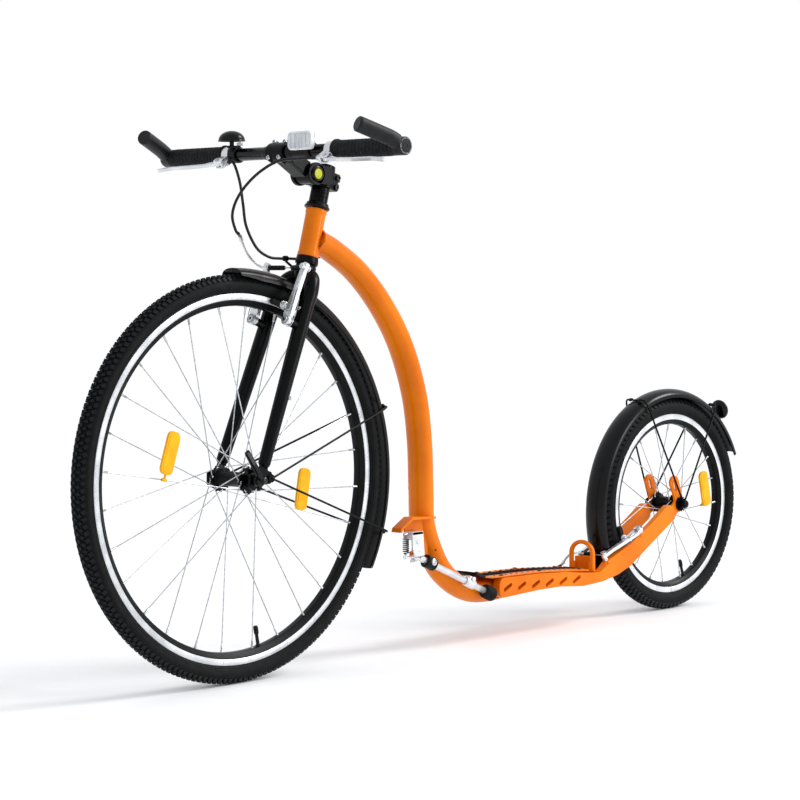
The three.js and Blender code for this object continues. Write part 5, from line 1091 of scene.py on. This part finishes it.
# ---------------------------------------------------------------- stem
PIVOT, BAR = arr((-183, 0, 873)), arr((-118, 0, 909))
shape = Shape()
shape.turned([(14.5, 135), (19.2, 135), (20, 135.8), (20, 168), (19, 176), (14.5, 176)], FOOT, UP, 64, closed=True)
middle = steer(155.5)
for side in BOTH:
    shape.turned([(6.6, 16.4), (19.4, 16.4), (20, 17), (20, 23.2), (19.2, 24), (6.6, 24)], PIVOT, Y * side, 64,
                 closed=True)
    shape.plate(rounded(band((middle[0], middle[2]), (PIVOT[0], PIVOT[2]), 16, 16), 5, 4), 16.4, 24, side)
shape.plate(band((middle[0], middle[2]), tuple(mix((middle[0], middle[2]), (PIVOT[0], PIVOT[2]), 0.15)), 15, 15),
            -23.6, 23.6)
behind = [steer(h, r) for h, r in ((136, 12), (167, 12), (167, 28), (163, 31), (154, 31), (152.5, 27.5), (150.5, 27.5),
                                   (149, 31), (140, 31), (136, 28))]
shape.plate([(p[0], p[2]) for p in behind], -13, 13)
piece("stem_base_body", shape, BLACK, "steering", "stem_base", bevel=0.9, segments=3)
shape = Shape()
for h in (143, 160):
    p = steer(h, 23.5)
    shape.rod((p[0], -16, p[2]), (p[0], 15, p[2]), 3.2)
    shape.turned([(0, 12.8), (4.8, 12.8), (4.8, 16.2), (4.2, 17), (2.4, 17), (2.3, 14.6), (0, 14.6)],
                 (p[0], 0, p[2]), Y, 28)
    shape.nut((p[0], 0, p[2]), -Y, 4.6, 12.8, 16.6)
shape.turned([(0, 170.4), (11.5, 170.4), (11.5, 172), (10.4, 173), (4, 173), (3.8, 171.6), (0, 171.6)], FOOT, UP, 40)
piece("stem_bolts", shape, DARK, "steering", bevel=0.3)
shape, ringed = Shape(), Shape()
shape.rod((PIVOT[0], -24, PIVOT[2]), (PIVOT[0], 24, PIVOT[2]), 5.8)
for side in BOTH:
    shape.turned([(0, 28.5), (5, 28.4), (8.4, 28.0), (9.2, 27.2), (9.2, 25.4), (0, 25.4)], PIVOT, Y * side, 48)
    ringed.turned([(9.4, 24.1), (13.4, 24.1), (13.8, 25), (12.8, 27.2), (11, 28.2), (9.6, 28), (9.4, 27)], PIVOT,
                  Y * side, 56, closed=True)
piece("stem_pivot_badge", shape, LIME, "steering", "stem_pivot_cap", bevel=0.3)
piece("stem_pivot_ring", ringed, GLOSS, "steering", sharp=35)
shape = Shape().turned(collar(6.8, 17.5, -16, 16, 0.9, 1), PIVOT, Y, 64, closed=True)
shape.turned(collar(12.9, 17.5, -21, 21, 0.9, 1), BAR, Y, 64, closed=True)
a, b = (PIVOT[0], PIVOT[2]), (BAR[0], BAR[2])
shape.plate(band(mix(a, b, 0.2), mix(a, b, 0.82), 14.6, 12.6), -15.2, 15.2)
shape.plate(band(mix(a, b, 0.26), mix(a, b, 0.74), 11, 9), -16.2, 16.2)
ahead = unit(BAR - PIVOT)
rise = np.cross(ahead, Y) * -1
for up in BOTH:
    for y in (-13, 13):
        foot = BAR + Y * y + rise * 15.5 * up - ahead * 7
        shape.rod(foot, foot + ahead * 16, 4.4)
piece("stem_arm_body", shape, BLACK, "handlebar_unit", "stem_arm", bevel=0.9, segments=3)
shape = Shape()
for up in BOTH:
    for y in (-13, 13):
        foot = BAR + Y * y + rise * 15.5 * up + ahead * 9
        shape.turned([(0, 0), (3.8, 0), (3.8, 3.2), (3.2, 4), (1.9, 4), (1.8, 1.6), (0, 1.6)], foot, ahead, 24)
piece("stem_face_bolts", shape, STEEL, "handlebar_unit", bevel=0.2)

# ---------------------------------------------------------------- handlebar
shape = Shape()
half = [(12.7, 0), (12.7, 30), (12.5, 31.5), (11.3, 37), (11.1, 38.5), (11.1, 297), (10.6, 298), (9.4, 298), (0, 296.5)]
shape.turned([(r, -y) for r, y in half[::-1]] + half[1:], BAR, Y, 64)
piece("handlebar_tube", shape, GLOSS, "handlebar_unit", "handlebar")
REACH, RISE = arr((0.832, 0, -0.555)), arr((0.555, 0, 0.832))
HORN = [(-112, 290, 913), (-98, 287, 921), (-84, 282.5, 927), (-37, 267.6, 945)]
BLADE = [(129, 21.5), (141, 22), (166, 30.5), (205, 33), (250, 33.5), (282, 38.5), (286, 41), (281, 43),
         (250, 37.5), (205, 37), (166, 34.8), (141, 31), (129, 31.5)]


def near_bar(side, across, reach, rise=0.0):
    return arr((BAR[0], across * side, BAR[2])) + REACH * reach + RISE * rise


for side, word in SIDES:
    shape = Shape()
    profile = [(11.4, 138.5), (17.4, 138.5), (18, 139), (18, 141.4), (17.4, 142), (15.6, 144)]
    y = 147.0
    while y < 272:
        profile += [(15.5, y), (14.9, y + 0.5), (14.9, y + 1.3), (15.5, y + 1.8)]
        y += 8.2
    profile += [(15.5, 278.6), (14.9, 279.5), (11.4, 279.5)]
    shape.turned(profile, BAR, Y * side, 56, closed=True)
    for a0 in turns(16):
        for k in range(15):
            yy = 151.9 + 8.2 * k
            a = a0 + (0.19 if k % 2 else 0)
            radial = polar((0, 0), 1, a)
            tangent = tangent_to(radial)
            shape.blocks([BAR + Y * side * yy + radial * 15.45], [(tangent * 1.9, Y * 2.3, radial * 0.45)])
    piece(f"grip_{word}_body", shape, RUBBER, "handlebar_unit", f"grip_{word}", sharp=30)
    shape = Shape()
    shape.turned([(11.5, 280), (15, 280), (15.5, 280.6), (15.5, 299), (14.6, 300.5), (11.5, 300.5)], BAR, Y * side, 56,
                 closed=True)
    path = even(smooth([flip(p, side) for p in HORN], 12), 60)
    sizes = np.full(60, 13.5)
    sizes[:6] = np.linspace(11.4, 13.5, 6)
    sizes[-4:] = (13.5, 13.4, 12.8, 11.0)
    shape.tube(path, sizes, 44)
    piece(f"bar_end_{word}_foam", shape, FOAM, "handlebar_unit", f"bar_end_{word}", bevel=0.5)
    shape = Shape()
    shape.turned([(0, 301.2), (3, 301.3), (3.4, 302), (6.4, 302), (7, 301.4), (10.8, 301.2), (11.3, 300.6),
                  (11.3, 299.5), (0, 299.5)], BAR, Y * side, 40)
    piece(f"bar_plug_{word}", shape, PLASTIC, "handlebar_unit")
    shape = Shape()
    shape.turned([(11.4, 299.9), (13.6, 299.9), (13.9, 300.7), (13.2, 301.3), (12.0, 301.3), (11.4, 300.8)], BAR,
                 Y * side, 48, closed=True)
    piece(f"bar_plug_ring_{word}", shape, GREY, "handlebar_unit", sharp=30)
    # Lever bracket, barrel and clamp bolt
    shape = Shape()
    shape.turned(collar(11.4, 15, 121, 137.5, 0.6, 0.7), BAR, Y * side, 56,
                 closed=True)
    body = [(120.5, 8), (137.5, 8), (137.5, 18.4), (144, 18.6), (144, 19.6), (126, 19.6), (126, 33), (120.5, 33)]
    shape.slab(rounded(body, 2, 4), BAR, Y * side, REACH, 13.6)
    for r in (-5.7, 5.7):
        ear = [(120.5, 18), (144, 19), (144, 27), (139, 33), (120.5, 33)]
        shape.slab(rounded(ear, 5, 5), BAR + RISE * r, Y * side, REACH, 2.6)
    shape.rod(near_bar(side, 129, -13, -3), near_bar(side, 129, -13, 9), 4.0)
    piece(f"lever_bracket_{word}_body", shape, SILVER, "handlebar_unit", f"lever_bracket_{word}", bevel=0.7)
    shape = Shape().rod(near_bar(side, 135, 26.5, -7.6), near_bar(side, 135, 26.5, 7.6), 2.3)
    for r in (-7.6, 7.6):
        shape.turned([(0, -0.8), (3.8, -0.8), (3.8, 0.6), (3, 1.2), (0, 1.2)], near_bar(side, 135, 26.5, r), RISE, 24)
    start = near_bar(side, 122.5, 24)
    way = -Y * side
    shape.turned([(0, 0), (4, 0), (4, 3), (3, 3.4), (3, 5), (4.6, 5.2), (4.8, 9), (4.2, 11), (2.8, 11.5)], start,
                 way, 36)
    for a in turns(14):
        e = REACH * cos(a) + RISE * sin(a)
        shape.rod(start + way * 5.6 + e * 4.6, start + way * 9.4 + e * 4.6, 0.55, sides=6)
    shape.turned([(0, 0), (3.4, 0), (3.4, 2.6), (1.7, 3), (1.6, 1.2), (0, 1.2)],
                 near_bar(side, 129, -13, 8.8), RISE, 24)
    piece(f"lever_hardware_{word}", shape, STEEL, "handlebar_unit", bevel=0.2)
    shape = Shape().slab(rounded(BLADE, 8, 7), BAR, Y * side, REACH, 6.2)
    core = [(150, 25.6), (166, 31.6), (205, 34.2), (250, 34.8), (274, 38), (274, 39.4), (250, 36.4), (205, 36),
            (166, 33.6), (150, 29.4)]
    shape.slab(rounded(core, 3, 4), BAR, Y * side, REACH, 7.4)
    shape.turned([(2.6, -3.6), (5.4, -3.6), (5.6, 0), (5.4, 3.6), (2.6, 3.6)], near_bar(side, 135, 26.5), RISE, 32,
                 closed=True)
    piece(f"brake_lever_{word}_blade", shape, SILVER, f"lever_{word}", f"brake_lever_{word}", bevel=1.0, segments=3)

# Bell
shape = Shape()
at = arr((BAR[0], -112, BAR[2]))
shape.turned(collar(11.4, 14.5, -8, 8, 0.5, 0.6), at, Y, 48, closed=True)
foot = arr((-107, -112, 916.2))
shape.rod(foot, foot + Z * 33, 4)
shape.turned([(0, 0), (8, 0), (8.3, 0.8), (8.3, 3.2), (7.6, 4), (0, 4)], (-107, -112, 921), Z, 40)
shape.rod((-107, -112, 922.5), (-107, -92, 922.5), 2.2)
shape.rod((-107, -92, 922.2), (-107, -92, 929.5), 2.2)
shape.rod((-130, -106, 905), (-130, -118, 905), 3.4)
piece("bell_mount", shape, PLASTIC, "handlebar_unit", bevel=0.4)
outer = [(23.5 * cos(a), 18 * sin(a) ** 0.92) for a in np.linspace(0, pi / 2, 22)]
inner = [(21.5 * cos(a), 16 * sin(a) ** 0.92) for a in np.linspace(0, pi / 2, 22)]
profile = [(24.1, -0.6), (24.3, 0.4), *outer[1:-1], (0, 18), (0, 16), *inner[::-1][1:], (21.6, -0.6)]
shape = Shape().turned(profile, (-107, -112, 933), Z, 72)
piece("bell_dome", shape, GLOSS, "handlebar_unit", "bell", sharp=45)
shape = Shape()
at, way = arr((-107, -92, 927)), unit((0.6, 0.8, 0))
shape.ring(5, 2.7, -2.2, 2.2, at, Z, 32)
shape.rod(at + way * 4, at + way * 20, 1.9, 1.6)
shape.turned(collar(0, 3.6, -3.6, 3.6, 0.4, 0.6), at + way * 20, Z, 28)
piece("bell_striker_arm", shape, STEEL, "bell_thumb", "bell_striker", bevel=0.3)

# Front reflector
at = arr((-93, 77, 926))
shape = Shape().slab(box_outline(59, 32, 7, 8), at - X * 0.6, Y, Z, 8.8)
piece("front_reflector_case", shape, CASE, "handlebar_unit", "front_reflector", bevel=1.2, segments=3)
shape = Shape()
for k in range(15):
    y = -25.2 + 3.6 * k
    tall = 26 if 0 < k < 14 else 22.5
    profile = [(y - 1.8, 0), (y - 1.1, 1.0), (y, 1.5), (y + 1.1, 1.0), (y + 1.8, 0)]
    shape.slab(profile, at + X * 3.6, Y, X, tall)
piece("front_reflector_facets", shape, CLEAR, "handlebar_unit", sharp=20)
shape = Shape()
shape.turned(collar(11.4, 14.5, -6, 6, 0.5, 0.6), (BAR[0], 77, BAR[2]), Y, 48,
             closed=True)
shape.box((-105, 72, 910), (-97.4, 82, 921))
shape.rod((-131, 73, 904), (-131, 81, 904), 3.6)
shape.slab(box_outline(56, 30, 6, 8), at - X * 5.6, Y, Z, 2.0)
piece("front_reflector_bracket", shape, PLASTIC, "handlebar_unit", bevel=0.5)

# ---------------------------------------------------------------- cables
ROUTES = {
    "front_cable": ([(-98, 111, 895.7), (-93, 76, 895.5), (-86, 30, 893), (-76, -6, 876), (-60, -26, 852),
                     (-46, -36, 826), (-41, -41, 800), (-49, -42, 776), (-57, -42.4, 768.6)],
                    ("steering", "handlebar_unit", (-70, 0, 785), (-90, 0, 885))),
    "rear_cable_lead": ([(-98, -110.8, 895.7), (-97.5, -97, 893), (-88, -72, 860), (-73, -48, 820), (-66, -33, 782),
                         (-82, -25, 745), (-108, -22, 729), (-135, -22.2, 726), (-149.8, -24, 726)],
                        ("steering", "handlebar_unit", (-70, 0, 745), (-90, 0, 880))),
    "rear_cable_loop": ([(-150.2, -24.1, 726), (-165, -27, 725.6), (-190, -30.5, 725), (-220, -31.5, 726),
                         (-244.8, -30.3, 729.6)],
                        ("frame", "steering", (-236, -31, 727), (-156, -26, 727))),
    "rear_cable": ([(-245.6, -30.2, 729.8), (-262, -28.6, 726.6), (-302, -28, 700), (-362, -28, 641),
                    (-412, -28, 568), (-447, -28, 478), (-461, -28, 389), (-464, -28, 300), (-468, -28, 230),
                    (-501, -28, 160), (-541, -28.5, 122), (-586, -33.5, 104), (-625, -45.3, 101),
                    (-700, -45, 102), (-860, -45.3, 100), (-919, -48.4, 110.6)], "frame"),
}
cables = {}
for name, (route, body) in ROUTES.items():
    run = smooth(route, 12)
    shape = Shape().tube(run, 2.5, 18)
    for ends in (run[:5], run[-5:]):
        shape.tube(ends, 3.0, 18)
    cables[name] = run
    piece(name + "_jacket", shape, CABLE, body, name)
shape, run = Shape(), cables["rear_cable"]
for k in (60, 84, 108, 132):
    at, way = run[k], unit(run[k + 1] - run[k])
    shape.ring(3.6, 2.4, -2.4, 2.4, at, way, 24)
    shape.rod(at, at + Y * 3.2, 2.2, sides=16)
piece("cable_guides", shape, ORANGE, "frame", bevel=0.3)

# ---------------------------------------------------------------- kickstand
STRAP = [(-466, 251), (-405, 254), (-374, 236), (-371, 228), (-376, 228), (-381, 235), (-406, 249), (-466, 246.5)]
WEB = [(-464, 251), (-405, 252), (-403, 216), (-404.6, 211), (-424.5, 211), (-424.5, 189), (-418, 189),
       (-418.5, 176), (-464, 176)]
shape = Shape().plate(rounded(STRAP, 4, 5), 12, 36)
shape.plate(rounded(WEB, 3, 4), 12, 16)
piece("kickstand_strap", shape, ORANGE, "frame", "kickstand_bracket", bevel=0.8, segments=3)
shape = Shape()
NEAR = [(-429, 227), (-400, 227), (-400.5, 200), (-407, 181.5), (-433, 181.5), (-431, 200)]
FAR = [(-429, 227), (-401, 227), (-402, 212), (-425, 209), (-425, 186), (-412, 168), (-434, 170), (-431, 200)]
shape.plate(rounded(NEAR, 4, 5), 35, 38)
shape.plate(rounded(FAR, 3, 4), 16.3, 19.3)
shape.plate([(-429, 227), (-401, 227), (-401, 221.5), (-429, 221.5)], 16.3, 38)
shape.turned([(0, 0), (3.2, 0), (3.0, 1.4), (1.4, 2.0), (0, 2.0)], (-414, 38, 208), Y, 28)
shape.turned([(0, 0), (2.2, 0), (2.0, 1.0), (0, 1.4)], (-419, 38, 192), Y, 24)
piece("kickstand_plates", shape, ZINC, "frame", "kickstand_housing", bevel=0.6)
STAND, AXIS, TIP = arr((-424, 27, 180)), unit((0.148, -0.893, -0.424)), arr((-592, 41, 101))
shape = Shape().rod(STAND - AXIS * 9, STAND + AXIS * 8.5, 2.9)
shape.turned([(0, 0), (5, 0), (5, 1.6), (4, 2.4), (0, 2.6)], STAND - AXIS * 9, -AXIS, 28)
shape.rod((-403, 27, 224), (-390, 27, 222.6), 2.0)
shape.ball((-389.6, 27, 222.6), 2.6, X, 0.8, 16)
piece("kickstand_pins", shape, STEEL, "frame", bevel=0.2)
way = unit(TIP - STAND)
length = float(np.linalg.norm(TIP - STAND))
shape = Shape().turned(collar(0, 7.5, -4, 4, 0.9, 1), STAND, AXIS, 36)
shape.turned([(0, 4), (6.2, 4), (6.2, length - 1), (5.6, length), (0, length)], STAND, way, 48)
shape.rod(STAND, (-391, 27, 181), 2.5, 2.2, sides=18)
shape.turned([(2.4, -1.4), (4.4, -1.4), (4.4, 1.4), (2.4, 1.4)], (-391.5, 27, 181), Y, 24, closed=True)
piece("kickstand_tube", shape, SILVER, "kickstand", "kickstand_leg", bevel=0.4)
shape = Shape()
a, b = 0.11 * length, 0.24 * length
shape.turned([(6.3, a), (11, a), (12.5, a + 1.6), (12.5, b - 8), (11.6, b - 7), (11.6, b - 5.6), (12.5, b - 4.6),
              (12.3, b - 1.2), (11, b), (6.3, b)], STAND, way, 56, closed=True)
piece("kickstand_collar", shape, GLOSS, "kickstand", bevel=0.3)
side = unit(np.cross(way, AXIS))
knob_way = unit(Y + side * 0.15 - way * float(Y @ way))
shape = Shape()
at = STAND + way * (a + b) / 2
shape.turned([(0, 10.5), (6.6, 12), (6.8, 13.2), (5.6, 14.2), (2.8, 14.4), (2.4, 13.4), (0, 13.4)], at, knob_way, 36)
piece("kickstand_knob", shape, STEEL, "kickstand", bevel=0.2)
a, b = 0.7 * length, 0.83 * length
shape = Shape().turned(collar(6.3, 9, a, b, 0.6, 0.8), STAND, way, 48, closed=True)
at = STAND + way * (a + b) / 2
over = unit(np.cross(way, Y))
over = over if over[2] > 0 else -over
flat_way = unit(np.cross(over, way))
shape.slab(box_outline(18, 14, 2, 4), at + over * 8.4, way, flat_way, 6.5)
shape.rod(at + over * 8 - flat_way * 9.5, at + over * 8 + flat_way * 9.5, 3.2)
shape.nut(at + over * 8, flat_way, 4.6, 7.4, 10.6)
shape.nut(at + over * 8, -flat_way, 4.6, 7.4, 10.6)
shape.ball(at + over * 8 + flat_way * 11, 3, flat_way, 0.7, 16)
piece("kickstand_clamp", shape, ZINC, "kickstand", bevel=0.5)
a, b = 0.99 * length, 1.12 * length
shape = Shape()
profile = [(6.4, a), (11.8, a), (13.0, a + 1.4)]
y = a + 4
while y < b - 4:
    profile += [(13.5, y), (12.8, y + 0.6), (12.8, y + 1.4), (13.5, y + 2.0)]
    y += 4
profile += [(13.3, b - 2), (12.2, b), (0, b), (0, b - 2), (6.4, b - 3)]
shape.turned(profile, STAND, way, 56)
piece("kickstand_shoe", shape, SOLE, "kickstand", "kickstand_foot", bevel=0.2)
spring = [(-394, 27, 184.2), (-394, 27, 186.6)]
for i in range(7 * 20 + 1):
    a = 2 * pi * i / 20
    spring.append((-394 + 5.2 * cos(a), 27 + 5.2 * sin(a), 189 + (215.2 - 189) * i / 140))
spring += [(-394, 27, 217.6), (-394, 27, 220)]
shape = Shape().tube(even(spring, 300), 1.2, 8)
piece("kickstand_coil", shape, GREY, ("frame", "kickstand", (-394, 27, 217), (-394, 27, 187)), "kickstand_spring")

# ---------------------------------------------------------------- floor, light and camera
ground = bpy.data.meshes.new("floor")
size = 9.0
ground.from_pydata([(-size, -size, 0), (size, -size, 0), (size, size, 0), (-size, size, 0)], [], [(0, 1, 2, 3)])
ground.materials.append(FLOOR)
floor = bpy.data.objects.new("floor", ground)
show(floor)

world = bpy.data.worlds.new("studio")
bpy.context.scene.world = world
world.use_nodes = True
nodes, links = world.node_tree.nodes, world.node_tree.links
nodes.clear()
out = nodes.new("ShaderNodeOutputWorld")


def background(colour, strength):
    node = nodes.new("ShaderNodeBackground")
    node.inputs["Color"].default_value = colour
    node.inputs["Strength"].default_value = strength
    return node


seen, fill = background((1, 1, 1, 1), 1.0), background((0.95, 0.97, 1, 1), 0.84)
path = nodes.new("ShaderNodeLightPath")
pick = nodes.new("ShaderNodeMixShader")
links.new(path.outputs["Is Camera Ray"], pick.inputs["Fac"])
links.new(fill.outputs["Background"], pick.inputs[1])
links.new(seen.outputs["Background"], pick.inputs[2])
links.new(pick.outputs["Shader"], out.inputs["Surface"])


def aim(made, way):
    made.rotation_euler = Vector(way).to_track_quat("-Z", "Y").to_euler()
    show(made)


data = bpy.data.lights.new("sun", "SUN")
data.energy, data.angle = 1.45, 20 * DEG
aim(bpy.data.objects.new("sun", data), (0.66, -0.42, -0.62))
data = bpy.data.lights.new("softbox", "AREA")
data.shape, data.size, data.size_y, data.energy = "RECTANGLE", 1.0, 1.5, 42
made = bpy.data.objects.new("softbox", data)
made.location = (-1.9, 3.1, 1.5)
aim(made, (2.1, -3.1, -1.0))

SENSOR, FOCAL_PIXELS, PICTURE_PIXELS = 36.0, 2499.67, 800
yaw, pitch, roll = -136.1786 * DEG, -3.1616 * DEG, -0.5875 * DEG
ahead = arr([cos(pitch) * cos(yaw), cos(pitch) * sin(yaw), sin(pitch)])
right = arr([sin(yaw), -cos(yaw), 0])
up = np.cross(right, ahead)
r2 = right * cos(roll) + up * sin(roll)
u2 = up * cos(roll) - right * sin(roll)
place = Matrix.Identity(4)
for i in range(3):
    place[i][0], place[i][1], place[i][2] = r2[i], u2[i], -ahead[i]
place.translation = Vector(((2875.40 + SHIFT[0]) * MM, 3153.64 * MM, 717.95 * MM))
lens = bpy.data.cameras.new("camera")
lens.sensor_fit, lens.sensor_width = "HORIZONTAL", SENSOR
lens.lens = FOCAL_PIXELS / PICTURE_PIXELS * SENSOR
camera = bpy.data.objects.new("camera", lens)
camera.matrix_world = place
show(camera)
bpy.context.scene.camera = camera
bpy.context.scene.view_settings.view_transform = "Standard"
